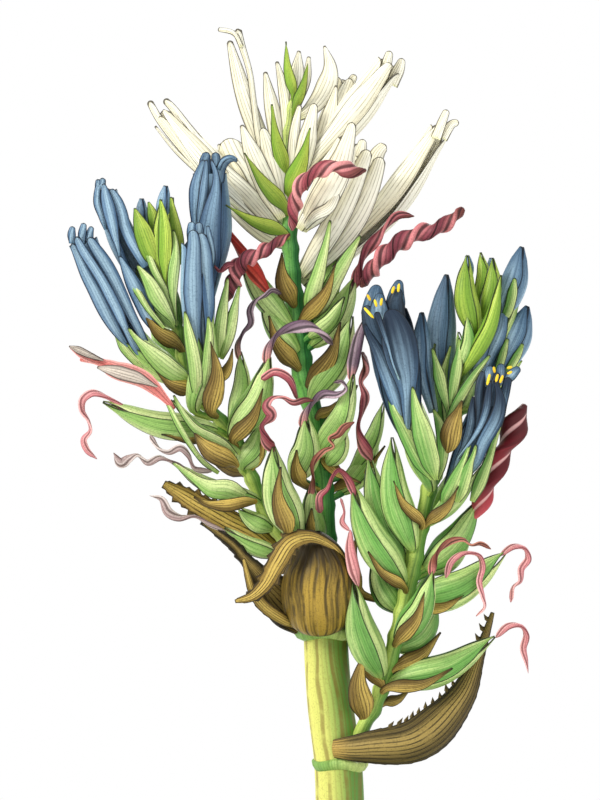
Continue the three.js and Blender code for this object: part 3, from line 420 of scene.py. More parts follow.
def hook(tissue, foot, outward, ahead, length, tone):
    """A hooked spine: a slim three-sided cone that leans ahead."""
    upward = np.cross(outward, ahead)
    rings = []
    for share, girth in ((0.0, 0.24), (0.5, 0.14)):
        middle = foot + outward * length * share + ahead * length * 0.5 * share**2
        for t in spokes(3):
            rings.append(middle + length * girth * (ahead * math.cos(t) * 1.5 + upward * math.sin(t)))
    tip = foot + outward * length + ahead * length * 0.7
    tissue.tube(np.array(rings).reshape(2, 3, 3), foot - outward * length * 0.2, tip, tone)


leaves, spines = Tissue(), Tissue()
for index in range(leaf_count):
    age = index / (leaf_count - 1)
    heading = index * golden_angle + first_heading
    length = leaf_length * (0.6 + 0.4 * math.sin(math.pi * min(0.5, age * 0.62 + 0.02)))
    first_rise, last_rise = 1.22 - 0.62 * age, -0.25 - 0.75 * age
    reach, height = 0.005 + 0.005 * age, soil_top + crown_height - crown_drop * age
    places = []
    for step in range(leaf_steps + 1):
        places.append((reach * math.cos(heading), reach * math.sin(heading), height))
        rise = first_rise + (last_rise - first_rise) * (step + 0.5) / leaf_steps
        reach += math.cos(rise) * length / leaf_steps
        height += math.sin(rise) * length / leaf_steps
    midrib = Course(places, across=np.array([-math.sin(heading), math.cos(heading), 0]))
    stations = np.linspace(0.005, 0.985, 46)
    along_leaf = stations / 0.99
    half_width = leaf_half_width * (0.72 + 0.5 * along_leaf) * (1 - along_leaf) ** 0.72 * (0.86 + 0.14 * age)
    half_width = np.maximum(half_width, leaf_tip)
    half_depth = leaf_thickness / 2 * (1 - 0.6 * along_leaf)
    middle, ahead, side, upward = midrib.at(stations)
    sweep = np.linspace(-1, 1, 11)
    wave = margin_wave * np.sin(along_leaf * 17 + index * 2.1)
    upper, lower = [], []
    for u in sweep:
        lift = -0.3 * half_width * (1 - u**2) + wave * abs(u) ** 2
        flank = middle + side * (half_width * u)[:, None]
        plump = half_depth * math.sqrt(max(0.0, 1 - u * u)) ** 0.7
        upper.append(flank + upward * (lift + plump * 0.7)[:, None])
        lower.append(flank + upward * (lift - plump * 1.3)[:, None])
    section = np.stack(upper + lower[-2:0:-1], axis=1)
    leaves.tube(section, midrib.at(0)[0], midrib.at(0.995)[0], luck.random())
    for u in (-1, 1):
        for station in np.arange(0.1, 0.93, spine_pitch / length) + luck.uniform(0, 0.02):
            foot, ahead, side, upward = midrib.at(station)
            share = station / 0.99
            width = np.interp(station, stations, half_width)
            edge = foot + side * width * u * 0.97 + upward * margin_wave * math.sin(share * 17 + index * 2.1)
            size = spine_length * (1 - 0.55 * share) * luck.uniform(0.75, 1)
            hook(spines, edge, side * u, -ahead if luck.random() < 0.3 else ahead, size, luck.random())


def tissue_finish(name, pale, deep, vein, edge=None, *, veins=12, strength=0.6, foot=None, foot_to=0.2,
                  tip=None, tip_from=0.82, tip_to=1.0, roughness=0.5, depth=0.00012, patchy=0.5,
                  spread=0.12, stipple=0.3, shade="margins", strands=0.0, hatch=0.5, streaks=5.0):
    """Plant tissue: pale, and deep where shade is painted: towards a sheet's margins, which leaves a painted
    highlight along its middle, on one side of a sheet, or round a tube from pale on one side to deep on the
    other, which on a stem is painted shade away from the lamp at its left and on a twisted rope gives its
    two faces. It has veins along it, fine hatching that paints the shade, a dark outline, pores, a coloured
    tip or foot, and a little change from patch to patch. strands draws the dark lines of twisted strands in
    place of the veins, narrower towards 1."""
    material, tree, shader, place = new_finish(name, roughness)
    parts = node(tree, "ShaderNodeSeparateXYZ", {"Vector": node(tree, "ShaderNodeUVMap").outputs["UV"]})
    across, along = parts.outputs["X"], parts.outputs["Y"]
    tone = node(tree, "ShaderNodeAttribute", attribute_name="tone").outputs["Fac"]
    off_middle = sums(tree, "ABSOLUTE", sums(tree, "MULTIPLY_ADD", across, 2.0, -1.0))
    laid = {"X": sums(tree, "MULTIPLY", across, streaks), "Y": along, "Z": sums(tree, "MULTIPLY", tone, 37.0)}
    streak = grains(tree, node(tree, "ShaderNodeCombineXYZ", laid).outputs["Vector"], 1.6, 4, 0.6)
    uneven = sums(tree, "MULTIPLY_ADD", sums(tree, "SUBTRACT", streak, 0.5), patchy * 2.2, patchy * 0.5)
    # Painted shade: round a tube from one side, across a sheet from one side, or out from its middle to its
    # margins.
    if shade == "stem":
        turn = sums(tree, "COSINE", sums(tree, "MULTIPLY", across, 2 * math.pi))
        shaded = stretch(tree, sums(tree, "SUBTRACT", uneven, turn), -0.55, 1.0)
    elif shade == "one side":
        shaded = stretch(tree, sums(tree, "ADD", across, uneven), 0.3, 1.15)
    else:
        shaded = stretch(tree, sums(tree, "ADD", off_middle, uneven), 0.3, 1.25)
    colour = tint(tree, shaded, rgb(pale), rgb(deep))
    if foot:
        colour = tint(tree, stretch(tree, along, foot_to, 0.0), colour, rgb(foot))
    if tip:
        wander = sums(tree, "MULTIPLY_ADD", sums(tree, "SUBTRACT", streak, 0.5), 0.5, along)
        colour = tint(tree, stretch(tree, wander, tip_from, tip_to), colour, rgb(tip))
    bend = sums(tree, "MULTIPLY", grains(tree, place, 45, 1), 0.02 if strands else 0.16)
    phase = sums(tree, "MULTIPLY", sums(tree, "ADD", across, bend), 2 * math.pi * veins)
    line = sums(tree, "COSINE", sums(tree, "ADD", phase, math.pi if strands else 0.0))
    stroke = stretch(tree, line, strands or 0.45, 1.0)
    broken = stretch(tree, grains(tree, place, 200, 2), 0.3, 0.55, 0.15, 1.0)
    inked = sums(tree, "MULTIPLY", stroke, strength if strands else sums(tree, "MULTIPLY", broken, strength))
    # Fine hatching, drawn only where the painted shade is deep.
    fine = stretch(tree, sums(tree, "COSINE", sums(tree, "MULTIPLY", phase, 3.4)), 0.0, 1.0, 0.0, hatch)
    hatched = sums(tree, "MULTIPLY", fine, sums(tree, "MULTIPLY_ADD", shaded, 0.8, 0.1))
    pores = stretch(tree, grains(tree, place, 1900, 1), 0.5, 0.72, 0, stipple)
    for ink in (inked, hatched, pores):
        colour = tint(tree, ink, colour, rgb(vein))
    if edge:
        margin = node(tree, "ShaderNodeAttribute", attribute_name="margin").outputs["Fac"]
        outline = stretch(tree, margin, outline_reach, outline_full, 0, 0.9)
        colour = tint(tree, outline, colour, rgb(edge))
    bright = {"Color": colour, "Value": stretch(tree, tone, 0, 1, 1 - spread, 1 + spread)}
    colour = node(tree, "ShaderNodeHueSaturation", bright).outputs["Color"]
    satin = stretch(tree, streak, 0.3, 0.7, roughness - 0.08, roughness + 0.1)
    tree.links.new(satin, shader.inputs["Roughness"])
    shader.inputs["Specular IOR Level"].default_value = 0.3
    grooves = sums(tree, "MULTIPLY_ADD", stroke, -0.6, sums(tree, "MULTIPLY", streak, 0.5))
    coat(tree, shader, colour, grooves, depth)
    return material


leaf_finish = tissue_finish("silvery leaf", "#a9bd98", "#6d8a62", "#55704d", "#5b5a35", veins=15,
                            strength=0.35, tip="#a88a55", tip_from=0.9, foot="#d9dcae", foot_to=0.12,
                            roughness=0.55, spread=0.1)
spine_finish = tissue_finish("horny spine", "#7a5226", "#4a2c14", "#3a2110", None, veins=3,
                             strength=0.3, tip="#2a170c", tip_from=0.6, roughness=0.4)
settle(leaves.piece(angle=50), "rosette_leaves", leaf_finish, "leaf", "rosette")
settle(spines.piece(angle=30), "rosette_spines", spine_finish, "leaf", "rosette")

crown = Tissue()
crown_profile = [(0.007, -0.008), (0.015, -0.003), (0.016, 0.004), (0.0135, 0.014), (0.0095, 0.022),
                 (0.0086, 0.024)]
crown_sides, crown_folds, fold_depth = 40, 5, 0.05
crown_rings = np.array([ring(radius, soil_top + rise, crown_sides) for radius, rise in crown_profile])
for row in crown_rings[1:-1]:
    row[:, :2] *= 1 + fold_depth * np.cos(spokes(crown_sides) * crown_folds)[:, None]
crown.tube(crown_rings, (0, 0, soil_top - 0.008), (0, 0, soil_top + 0.024))
crown_finish = tissue_finish("leaf sheath", "#d8d7a8", "#9a9a5e", "#7d6a3c", None, veins=20, strength=0.5,
                             foot="#6b4f2c", foot_to=0.4)
settle(crown.piece(), "rosette_crown", crown_finish, "leaf", "rosette")

# ---------------------------------------------------------------------------------------------
# Scape and main axis: one upright stem that grows out of the crown. Below the spathe it is thick
# and yellow-green with brown streaks; above it is slim and dark green with a scar under each floret.
MM = 0.001
panicle_datum = 230  # the places below count their z from this height, in millimetres
depth_stretch = 1.4  # of their y
SCAPE = [
    [0, 0, -130, 8.6], [0, 0, -60, 7.8], [0, 0, 0, 7.2], [-2.7, 0, 21.6, 6.8], [-3.9, 0, 42, 6.6],
    [-3.6, 0, 50, 4.4], [-3.5, 0, 59.1, 2.8], [-3.8, 0, 78.6, 2.5], [-6.8, 0, 104.1, 2.6],
    [-10.6, 0, 119, 3.3], [-12.6, 0, 134, 2.9], [-13.6, 0, 145, 2.5], [-14.7, 0, 162, 2],
    [-15.9, 0, 183.6, 1.3], [-13.5, 0, 204, 0.9], [-12.6, 0, 211.2, 0.7],
]
node_swelling, node_half_height, collar_sides = 0.55, 1.6, 48


def in_panicle(places):
    """Places x, y, z in the panicle's millimetres as metres in the frame."""
    return [(x * MM, y * depth_stretch * MM, (z + panicle_datum) * MM) for x, y, z, *_ in places]


def beside(way, x, y):
    """Points x mm to the side of places on a course and y mm to their front."""
    middle, along, side, front = (part[:, None] if part.ndim == x.ndim else part for part in way)
    return middle + (side * x[..., None] + front * y[..., None]) * MM


def on_stem(stem, z):
    """Place on a stem's course at height z."""
    i = max(1, next((i for i, place in enumerate(stem) if place[2] >= z), 0))
    low, high = np.array(stem[i - 1][:3], float), np.array(stem[i][:3], float)
    return low + (high - low) * min(max((z - low[2]) / (high[2] - low[2]), 0), 1)


def limb(tissue, stem, rows, sides, ribs, knots=()):
    """A stem through places x, y, z, radius, with a slight swelling at each knot's height."""
    way = Course(in_panicle(stem)).at(np.linspace(0, 1, rows))
    middle, along = way[:2]
    heights = middle[:, 2] / MM - panicle_datum
    radius = np.interp(heights, [place[2] for place in stem], [place[3] for place in stem])
    for knot in knots:
        radius = radius + node_swelling * np.exp(-(((heights - knot) / node_half_height) ** 2))
    turn = spokes(sides)
    girth = radius[:, None] * (1 + ribs * np.cos(turn * 7)[None, :])
    rings = beside(way, girth * np.cos(turn), girth * np.sin(turn))
    tissue.tube(rings, middle[0], middle[-1] + along[-1] * 0.4 * MM)


thick_end = next(i for i, place in enumerate(SCAPE) if place[3] < 3)
scape, collars, main_axis = Tissue(), Tissue(), Tissue()
limb(scape, SCAPE[: thick_end + 1], rows=90, sides=40, ribs=0.012)
for z, x, radius in ((42, -4.4, 9.2), (2.4, 0.4, 8.4)):
    rolled = ((-2.2, -2), (-0.8, -1.4), (0, -0.2), (0.2, 0.9), (-0.5, 1.5), (-1.9, 1.9))
    rings = [ring((radius + out) * MM, (z + rise + panicle_datum) * MM, collar_sides) for out, rise in rolled]
    rings = np.array(rings)
    rings[..., 0] += x * MM
    rings[..., 2] += 0.5 * MM * np.sin(spokes(collar_sides) * 3)
    collars.tube(rings, rings[0].mean(0), rings[-1].mean(0))
scars = [62, 70, 80, 85, 92, 97, 106, 113, 118, 124, 130, 136, 143, 150, 157, 163, 171, 178, 186, 192, 199]
limb(main_axis, SCAPE[thick_end - 1 :], rows=170, sides=20, knots=scars, ribs=0.03)

# The stems are pale on their left, towards the lamp, and deep on their right: painted shade.
scape_finish = tissue_finish("yellow-green scape", "#d6d46f", "#5f8f3c", "#7d6a2c", veins=8, strength=0.7,
                             shade="stem", roughness=0.5, spread=0.0)
collar_finish = tissue_finish("pale green collar", "#c3d47e", "#7ba650", "#5c7d35", veins=16, strength=0.5,
                              shade="stem")
axis_finish = tissue_finish("dark green axis", "#7cc05c", "#2c7a3a", "#174f26", veins=7, strength=0.5,
                            shade="stem", tip="#c3cf76", tip_from=0.72, spread=0.0)
settle(scape.piece(), "scape", scape_finish, "stem", "main_stem")
settle(collars.piece(), "scape_collars", collar_finish, "stem", "main_stem")
settle(main_axis.piece(), "main_axis", axis_finish, "stem", "main_stem")

# ---------------------------------------------------------------------------------------------
# Left spray: a side stem that leaves the scape at the spathe and carries calyces, unopened buds and
# small bracts. A calyx is three overlapping green sepals, the nearest of them shaped one by one; a
# bract is a brown boat under a calyx.
# A stem's rows are places x, y, z and radius; a floret's are its foot, its tip and its widest radius.
LEFT_STEM = [
    [-5, -1, 50, 2.2], [-12.9, -4, 59.1, 2.1], [-16.2, -5, 69.6, 2], [-21.3, -5.5, 77.1, 2],
    [-31.5, -6.5, 100.5, 1.8], [-44.1, -7.5, 116.4, 1.7], [-48.9, -8, 137.1, 1.4], [-51.9, -8.5, 150.6, 1.1],
]
LEFT_OPEN_CALYCES = [
    [-45, -9, 116.7, -63.3, -11, 132.6, 4.08], [-48.9, -9, 133.5, -60.6, -10, 150.9, 3.36],
    [-44.1, -5, 128.1, -40.2, -2, 146.1, 3.04], [-42.9, -9, 108.6, -40.8, -14, 136.8, 3.68],
]
LEFT_CALYCES = [
    [-31.5, -8, 100.5, -20.7, -13, 124.5, 4.5], [-31.8, -8, 104.1, -29.4, -6, 126, 2.7],
    [-36.9, -9, 102.6, -70.2, -10, 111, 3.825], [-30.3, -9, 96.6, -49.8, -15, 111.6, 1.28],
    [-24.6, -9, 81.9, -49.5, -11, 93, 2.5], [-20.1, -6, 73.2, -30.3, -6, 79.5, 2.7],
    [-13.6, -9, 72, -19.6, -17, 97.8, 5], [-28.8, -7, 91.2, -23.1, -6, 104.4, 3.6],
    [-18.3, -8, 65.7, -34.2, -8, 73.5, 2.4],
]
LEFT_FAR_CALYCES = [[-44, -5, 118, -56, 6, 138, 4], [-48, -5, 134, -53, 3, 158, 3]]
LEFT_BUDS = [
    [-53.4, -8, 149.1, -60.3, -8, 168, 2.31], [-51.3, -10, 144.6, -52.8, -12, 171, 1.75],
    [-48.3, -7, 152, -49.5, -7, 171.9, 1.54],
]
LEFT_BRACTS = [
    [-43.8, -10, 114.6, -55.7, -14, 121.4, 3], [-47.7, -10, 127.8, -59.4, -13, 139.5, 2.7],
    [-38.1, -14, 109.2, -38, -19, 131, 3.3], [-31.5, -11, 99.9, -21.6, -17, 116.7, 2.7],
    [-36.6, -9, 102.3, -54.5, -13, 101.3, 2.5], [-15.4, -17, 74, -17.6, -22, 94, 3.2],
    [-26.1, -7, 91.2, -22.2, -10, 102.3, 1.8], [-35.7, -11, 117.6, -31.2, -12, 127.8, 1.8],
    [-29.1, 2, 90.6, -42.9, 7, 101.4, 3.6],
]
sepal_thickness, bract_thickness = 0.45 * MM, 0.5 * MM
stalk_radius, bract_cup, tip_rounding, strap_ripple = 1.0, 0.7, 0.8, 0.12


def weave(rows, columns, first=0.0):
    """Shares v along a sheet and u across it, from -1 to 1, of each of its points."""
    return np.meshgrid(np.linspace(first, 1, rows), np.linspace(-1, 1, columns), indexing="ij")


def whorl(tissue, course, start, girth, spread, *, turn, twist, lap, rows, columns, parts=3, keel=0.0,
          flat=1.0, tone=0.5, crease=0.02):
    """Sheets wrapped round a course, each over its neighbour's edge. girth is a profile of radii in
    mm, spread one of half angles in degrees."""
    v, u = weave(rows, columns)
    bare, half = smooth(girth, v), np.radians(smooth(spread, v))
    way = course.at(start + (1 - start) * v)
    for part in range(parts):
        angle = turn + 2 * math.pi * part / parts + twist * v + u * half
        furrow = crease * np.sin(u * 5 + 3 * v + part * 2 + turn) + keel * (1 - np.abs(u)) ** 2
        radius = bare * (1 + furrow) + lap * u * np.minimum(1, bare / 1.5)
        points = beside(way, radius * np.cos(angle), radius * flat * np.sin(angle))
        tissue.sheet(points, min(max(tone + luck.uniform(-0.12, 0.12), 0), 1))


def floret_course(stem, row, bow=0.07):
    """Course of a floret: out along a short stalk, then bowed to its lower side and up to its tip,
    with the share of its length at which its body starts."""
    x0, y0, z0, x1, y1, z1 = row[:6]
    lean = -1 if x1 < x0 else 1
    middle = (
        (x0 + x1) / 2 + bow * lean * (z1 - z0),
        (y0 + y1) / 2 - bow * 0.5 * abs(z1 - z0),
        (z0 + z1) / 2 - bow * lean * (x1 - x0),
    )
    foot = on_stem(stem, z0 - 3)
    stalk_length = np.linalg.norm(np.array([x0, y0, z0]) - foot)
    body_length = np.linalg.norm(np.array([x1 - x0, y1 - y0, z1 - z0]))
    share = min(max(stalk_length / (stalk_length + body_length), 0.05), 0.6)
    return Course(in_panicle([tuple(foot), (x0, y0, z0), middle, (x1, y1, z1)])), share


def stalk(tissue, course, share, radius, tone):
    """Short green stalk that widens into a floret's foot."""
    stations = np.linspace(0, share + 0.08, 9)
    way = course.at(stations)
    widening = [(0, stalk_radius * 1.1), (share * 0.5, stalk_radius), (share + 0.08, radius * 0.5)]
    girth, turn = smooth(widening, stations), spokes(12)
    rings = beside(way, np.outer(girth, np.cos(turn)), np.outer(girth, np.sin(turn)))
    tissue.tube(rings, way[0][0], way[0][-1], tone)


def calyx(sepals, stalks, stem, row, opened=False):
    """Three sepals pressed to a point, or standing open round a corolla."""
    course, share = floret_course(stem, row)
    radius, tone = row[6], luck.random()
    stalk(stalks, course, share, radius, tone)
    girth = [(0, 0.6), (0.06, radius * 0.45)]
    if opened:
        girth += [(0.42, radius), (0.82, radius * 0.84), (1, radius * 0.95)]
        spread = [(0, 80), (0.4, 78), (0.62, 60), (0.82, 30), (0.93, 11), (1, 1)]
        turn, twist = 0.45, 0.1
    else:
        girth += [(0.36, radius), (0.7, radius * 0.68), (0.9, radius * 0.28), (1, radius * 0.05)]
        spread = [(0, 80), (0.45, 80), (0.72, 68), (0.88, 44), (0.96, 20), (1, 1)]
        turn, twist = luck.choice((-0.75, 0.55, 0.7)) + luck.uniform(-0.1, 0.1), luck.uniform(0.1, 0.5)
    whorl(sepals, course, share * 0.9, girth, spread, turn=turn, twist=twist, lap=0.22, keel=0.1, rows=24,
          columns=11, tone=tone)


def bract(bracts, stem, row, length=0.9, bow=0.1):
    """Boat-shaped bract that cups a floret's foot, its keel to the outside and its tip drawn out."""
    row = row[:3] + [start + (end - start) * length for start, end in zip(row[:3], row[3:6])] + row[6:]
    course, share = floret_course(stem, row, bow)
    width = row[6] * 0.9
    shape = ((0, 0.5), (0.24, 1), (0.46, 0.78), (0.68, 0.42), (0.86, 0.18), (1, 0.03))
    profile = [(0, 0.6)] + [(share + (1 - share) * reach, width * wide) for reach, wide in shape]
    v, u = weave(18, 9, 0.01)
    half = smooth(profile, v)
    curl = half * (0.62 * (1 - u**2) - 0.12) + 0.16 * np.sin(9 * v + luck.uniform(0, 6)) * np.abs(u) ** 3
    bracts.sheet(beside(course.at(v), half * u, curl), luck.random())


def strap_form(places, wider=1):
    """The course through places x, y, z, half width, and the profile of its half widths."""
    knots = np.linspace(0, 1, len(places))
    return Course(in_panicle(places)), [(knot, place[3] * wider) for knot, place in zip(knots, places)]


def straps(tissue, ways, cup=0.35):
    """Single sepals or petals, each a strap through places x, y, z, half width."""
    v, u = weave(26, 11)
    for places in ways:
        course, width = strap_form(places)
        half = smooth(width, v)
        rounded = tip_rounding * places[-1][3] * MM / course.length
        bulge = half * cup * (1 - u**2) + strap_ripple * np.sin(u * 6 + 5 * v)
        way = course.at(v * (1 - rounded * np.abs(u) ** 2.2))
        tissue.sheet(beside(way, half * u, bulge), luck.random())


def behind(rows, depth=-5):
    """The same rows on the far side of a stem that runs at that depth."""
    return [[2 * depth - value if i in (1, 4) else value for i, value in enumerate(row)] for row in rows]


def florets(build, *tissues_and_stem, rows, **form):
    """A calyx or a bract on a stem for each row of its foot's place, its tip's place and its radius."""
    for row in rows:
        build(*tissues_and_stem, row, **form)


def sepal_finish(name, pale, deep):
    return tissue_finish(name, pale, deep, "#46702f", "#1b2410", veins=6, strength=0.45, foot="#b1cd6e",
                         foot_to=0.15, tip="#9ab458", tip_from=0.86, roughness=0.48, shade="one side")


# Sepals, buds and bracts are pale on one side of each sheet and deep on the other, as painted shade; the side
# stems are pale on their left, towards the lamp, and deep on their right, as painted shade too.
calyx_finish = sepal_finish("green sepal", "#e0eca6", "#93bb62")
# The right spray's sepals: a deeper copy, partly their own deeper green and partly painted shade.
deep_calyx_finish = sepal_finish("deeper green sepal", "#d3e395", "#6ba24b")
bud_finish = tissue_finish("lime bud", "#c0d45a", "#7ea632", "#4f7426", "#1d270c", veins=8, strength=0.5,
                           roughness=0.45, shade="one side")
bract_finish = tissue_finish("brown bract", "#cdb05a", "#6b5522", "#3b2c0d", "#1d1506", veins=7,
                             strength=0.85, foot="#c9963f", foot_to=0.12, tip="#4a3b14", tip_from=0.8,
                             roughness=0.6, spread=0.15, hatch=0.7, shade="one side")
stalk_finish = tissue_finish("side stem", "#bfd267", "#5f9038", "#44702a", veins=6, strength=0.5,
                             shade="stem", spread=0.05)

left_sepals, left_stems, left_buds, left_bracts = Tissue(), Tissue(), Tissue(), Tissue()
limb(left_stems, LEFT_STEM, rows=110, sides=18, ribs=0.03,
     knots=[54, 62, 69, 73, 79, 88, 94, 99, 105, 111, 114, 125, 132, 141])
# Each strap is places x, y, z, half width.
LEFT_SEPALS = [
    [[-41.4, -10.5, 110.1, 0.6], [-42.3, -13, 114.6, 1.5], [-42.6, -15.6, 120.6, 2.1],
     [-43.5, -17.4, 126.6, 1.95], [-44.7, -18, 132.6, 1.4], [-45.6, -18, 137.7, 0.15]],
    [[-40.8, -10, 110.7, 0.6], [-40.2, -12.6, 114.6, 1.3], [-39.3, -15.2, 120, 1.7], [-38.7, -17, 126.6, 1.5],
     [-38.4, -17.6, 131.1, 1.1], [-38.7, -17.6, 136.2, 0.15]],
    [[-44.7, -10, 117.6, 0.9], [-49.2, -13, 120, 2.6], [-53.7, -14.6, 123.6, 3], [-57.6, -15.2, 127.2, 2.3],
     [-60.9, -15.4, 130.8, 1], [-62.4, -15.4, 132.9, 0.15]],
    [[-56.7, -12, 120, 0.6], [-60.3, -12.6, 123, 1.2], [-63.6, -12.6, 126.6, 1.2],
     [-66.3, -12.4, 130.6, 0.15]],
    [[-36, -11, 90, 0.5], [-40.4, -13, 93.4, 0.8], [-44.4, -14, 98.8, 0.8], [-47.7, -14.6, 104.4, 0.9],
     [-50.1, -14.8, 109.2, 0.7], [-51.7, -14.4, 112, 0.15]],
    [[-31.2, -10, 95.8, 0.5], [-34.5, -12.4, 98.6, 1.3], [-38.1, -13.6, 100.5, 1.6],
     [-42.3, -14.4, 102.9, 1.4], [-45.3, -15, 106.4, 1], [-47.6, -15, 110.2, 0.6], [-49, -14.6, 113, 0.15]],
    [[-26, -9, 82, 0.6], [-29.1, -11.4, 83.4, 1.9], [-33.3, -13, 85, 3.1], [-37.6, -13.8, 85.4, 2.7],
     [-41.6, -14, 87.5, 1.4], [-45.3, -13.8, 90.2, 0.8], [-49.4, -13.2, 93.1, 0.15]],
    [[-48.3, -12, 135.4, 0.2], [-48.7, -12.8, 138, 0.6], [-49.2, -13.2, 141.6, 1.2],
     [-49.3, -13.6, 145.8, 1.6], [-49, -13.6, 150, 1.7], [-48.5, -13.4, 154.2, 1.3], [-48.6, -13, 158.1, 0.8],
     [-49.2, -12.8, 162, 0.15]],
    [[-48.8, -12, 136, 0.2], [-49.8, -12.8, 139.8, 0.6], [-51.3, -13, 143.4, 1], [-53.1, -13.2, 146.7, 1.1],
     [-54.8, -13.2, 150, 1.1], [-56.1, -13, 153.3, 0.9], [-57.6, -12.6, 156.9, 0.15]],
    [[-48.9, -12, 134, 0.4], [-50.1, -13.6, 136.2, 1.2], [-52.2, -14.4, 139.2, 2], [-54.3, -14.8, 142.5, 2.4],
     [-56.1, -14.8, 146.1, 2], [-57.9, -14.4, 148.8, 1.2], [-59.8, -14, 151.4, 0.15]],
    [[-52, -12, 133, 0.5], [-56.4, -13.4, 138.3, 0.9], [-59.4, -13.6, 143.1, 1], [-62.9, -13.2, 148.4, 0.15]],
    [[-35.7, -9, 124.4, 0.5], [-35.4, -12.6, 131, 1.9], [-34.7, -13.4, 137, 1.8], [-33.8, -13.4, 143, 1.1],
     [-33, -13, 147.8, 0.15]],
    [[-35, -9, 124, 0.5], [-33.6, -11.6, 128.1, 1.4], [-32.4, -12.6, 132.6, 1.9], [-31.1, -12.8, 138.6, 1.6],
     [-30.3, -12.6, 142.5, 0.8], [-29.6, -12.4, 145.4, 0.15]],
]
LIME_SEPALS = [
    [[-52, -9, 147, 0.5], [-54.6, -12, 153, 1.5], [-56.1, -12.8, 156, 2.5], [-57.3, -13, 159, 2.9],
     [-58.4, -13, 162, 2.7], [-59.5, -12.6, 165, 1.7], [-60.7, -12, 168.4, 0.15]],
    [[-53, -8, 155, 1], [-54.4, -9.6, 161.1, 1.8], [-54.9, -10, 164.1, 1.8], [-55.6, -10, 167.1, 1.5],
     [-56.7, -9.6, 170.4, 0.15]],
    [[-51.3, -12, 144.6, 0.2], [-51.4, -13, 149.1, 1.2], [-51.6, -13.4, 153.6, 1.9], [-51.5, -13.6, 158.1, 2],
     [-51.7, -13.6, 162.6, 1.8], [-52.3, -13.2, 167.1, 1.1], [-53.1, -12.8, 171, 0.15]],
    [[-47.7, -8, 152, 1], [-48.1, -10, 159.6, 1.9], [-48.7, -10.4, 163.2, 1.8], [-49.3, -10.2, 167.1, 1.1],
     [-50.1, -9.6, 171.9, 0.15]],
]
LEFT_WIDE_BRACTS = [
    [[-24.8, -12, 81.6, 0.6], [-28.2, -14.6, 81.5, 1.5], [-33.3, -16.4, 80.5, 1.8], [-38.7, -17, 81, 0.9],
     [-43, -17, 83, 0.1]],
    [[-30.3, -12, 92.1, 0.6], [-31.8, -14, 93.4, 1.8], [-34.5, -16, 94.7, 2.9], [-37.5, -17, 96.2, 2.8],
     [-40.2, -17.4, 98.5, 1.6], [-42.8, -17.4, 101.8, 0.1]],
]
left = (left_sepals, left_stems, LEFT_STEM)
florets(calyx, *left, rows=LEFT_OPEN_CALYCES, opened=True)
straps(left_sepals, LEFT_SEPALS)
florets(calyx, *left, rows=LEFT_CALYCES + behind([LEFT_CALYCES[i] for i in (0, 3, 6)]) + LEFT_FAR_CALYCES)
florets(calyx, left_buds, left_stems, LEFT_STEM, rows=LEFT_BUDS)
straps(left_buds, LIME_SEPALS)
straps(left_bracts, LEFT_WIDE_BRACTS, bract_cup)
florets(bract, left_bracts, LEFT_STEM, rows=LEFT_BRACTS)
settle(left_stems.piece(), "left_spray_stem", stalk_finish, "stem", "left_spray")
settle(left_sepals.piece(sepal_thickness), "left_spray_calyces", calyx_finish, "calyx", "left_spray")
settle(left_buds.piece(sepal_thickness), "left_spray_buds", bud_finish, "calyx", "left_spray")
settle(left_bracts.piece(bract_thickness), "left_spray_bracts", bract_finish, "bract", "left_spray")

# ---------------------------------------------------------------------------------------------
# Right spray: the other side stem, stouter, from the collar low on the scape. It carries the same
# kinds of calyces, buds and bracts, its sepals a deeper green, partly their own colour and partly
# painted shade.
RIGHT_STEM = [
    [4, -1, 5, 2.4], [8.1, -4, 15.6, 2.1], [10.5, -4, 19.5, 2], [16.8, -5.5, 39.6, 2.3],
    [21.6, -6.5, 60, 2.3], [27.3, -7.5, 87.3, 2.1], [34.8, -8.5, 111.6, 1.7], [40.5, -9.5, 138.6, 1.2],
]
RIGHT_OPEN_CALYCES = [
    [30.9, -8, 104.1, 30.6, -9, 128, 2.76], [27.3, -10, 85.3, 20.7, -15, 110, 2.88],
    [26.7, -9, 75.1, 40.5, -12, 93.8, 2.64], [41, -6, 110, 52.5, -5, 124.3, 2.4],
    [44, -6, 124, 52.4, -5, 143, 1.8],
]
RIGHT_CALYCES = [
    [12.3, -7, 30, 4.2, -11, 57.4, 4.8], [15.3, -5, 27, 46.4, -5, 41, 4.4],
    [17.7, -8, 40.5, 27.6, -14, 61, 4], [21.3, -5, 50.1, 49.8, -4, 66.2, 5],
    [17.7, -3, 37.2, 29.7, 2, 49.2, 4.6], [18.9, -8, 57.3, 3.9, -12, 86.5, 5],
    [17.7, -4, 48.6, 9.9, -3, 63, 3.6], [19.8, -5, 63.6, 8.7, -6, 95.2, 4.2],
    [21.9, -8, 67.2, 15.6, -9, 100.5, 4.5], [25.5, -5, 61.5, 41.7, -5, 81.6, 4.2],
    [27.3, -3, 60.6, 39.3, 0, 72.6, 3.6], [36.3, -12, 122.1, 37.8, -14, 136.5, 2],
]
RIGHT_FAR_CALYCES = [
    [29, -5, 88, 24, 5, 112, 4], [34, -6, 106, 36, 3, 132, 4], [28, -4, 76, 38, 4, 96, 4],
]
RIGHT_BUDS = [
    [39.9, -11, 131.1, 37.8, -12, 154.5, 3.3], [42.6, -9, 136, 45.6, -10, 153.6, 2.7],
    [41.7, -8, 140, 42, -8, 155.5, 2.2], [36.9, -12, 120, 47.7, -15, 148.5, 2.2],
]
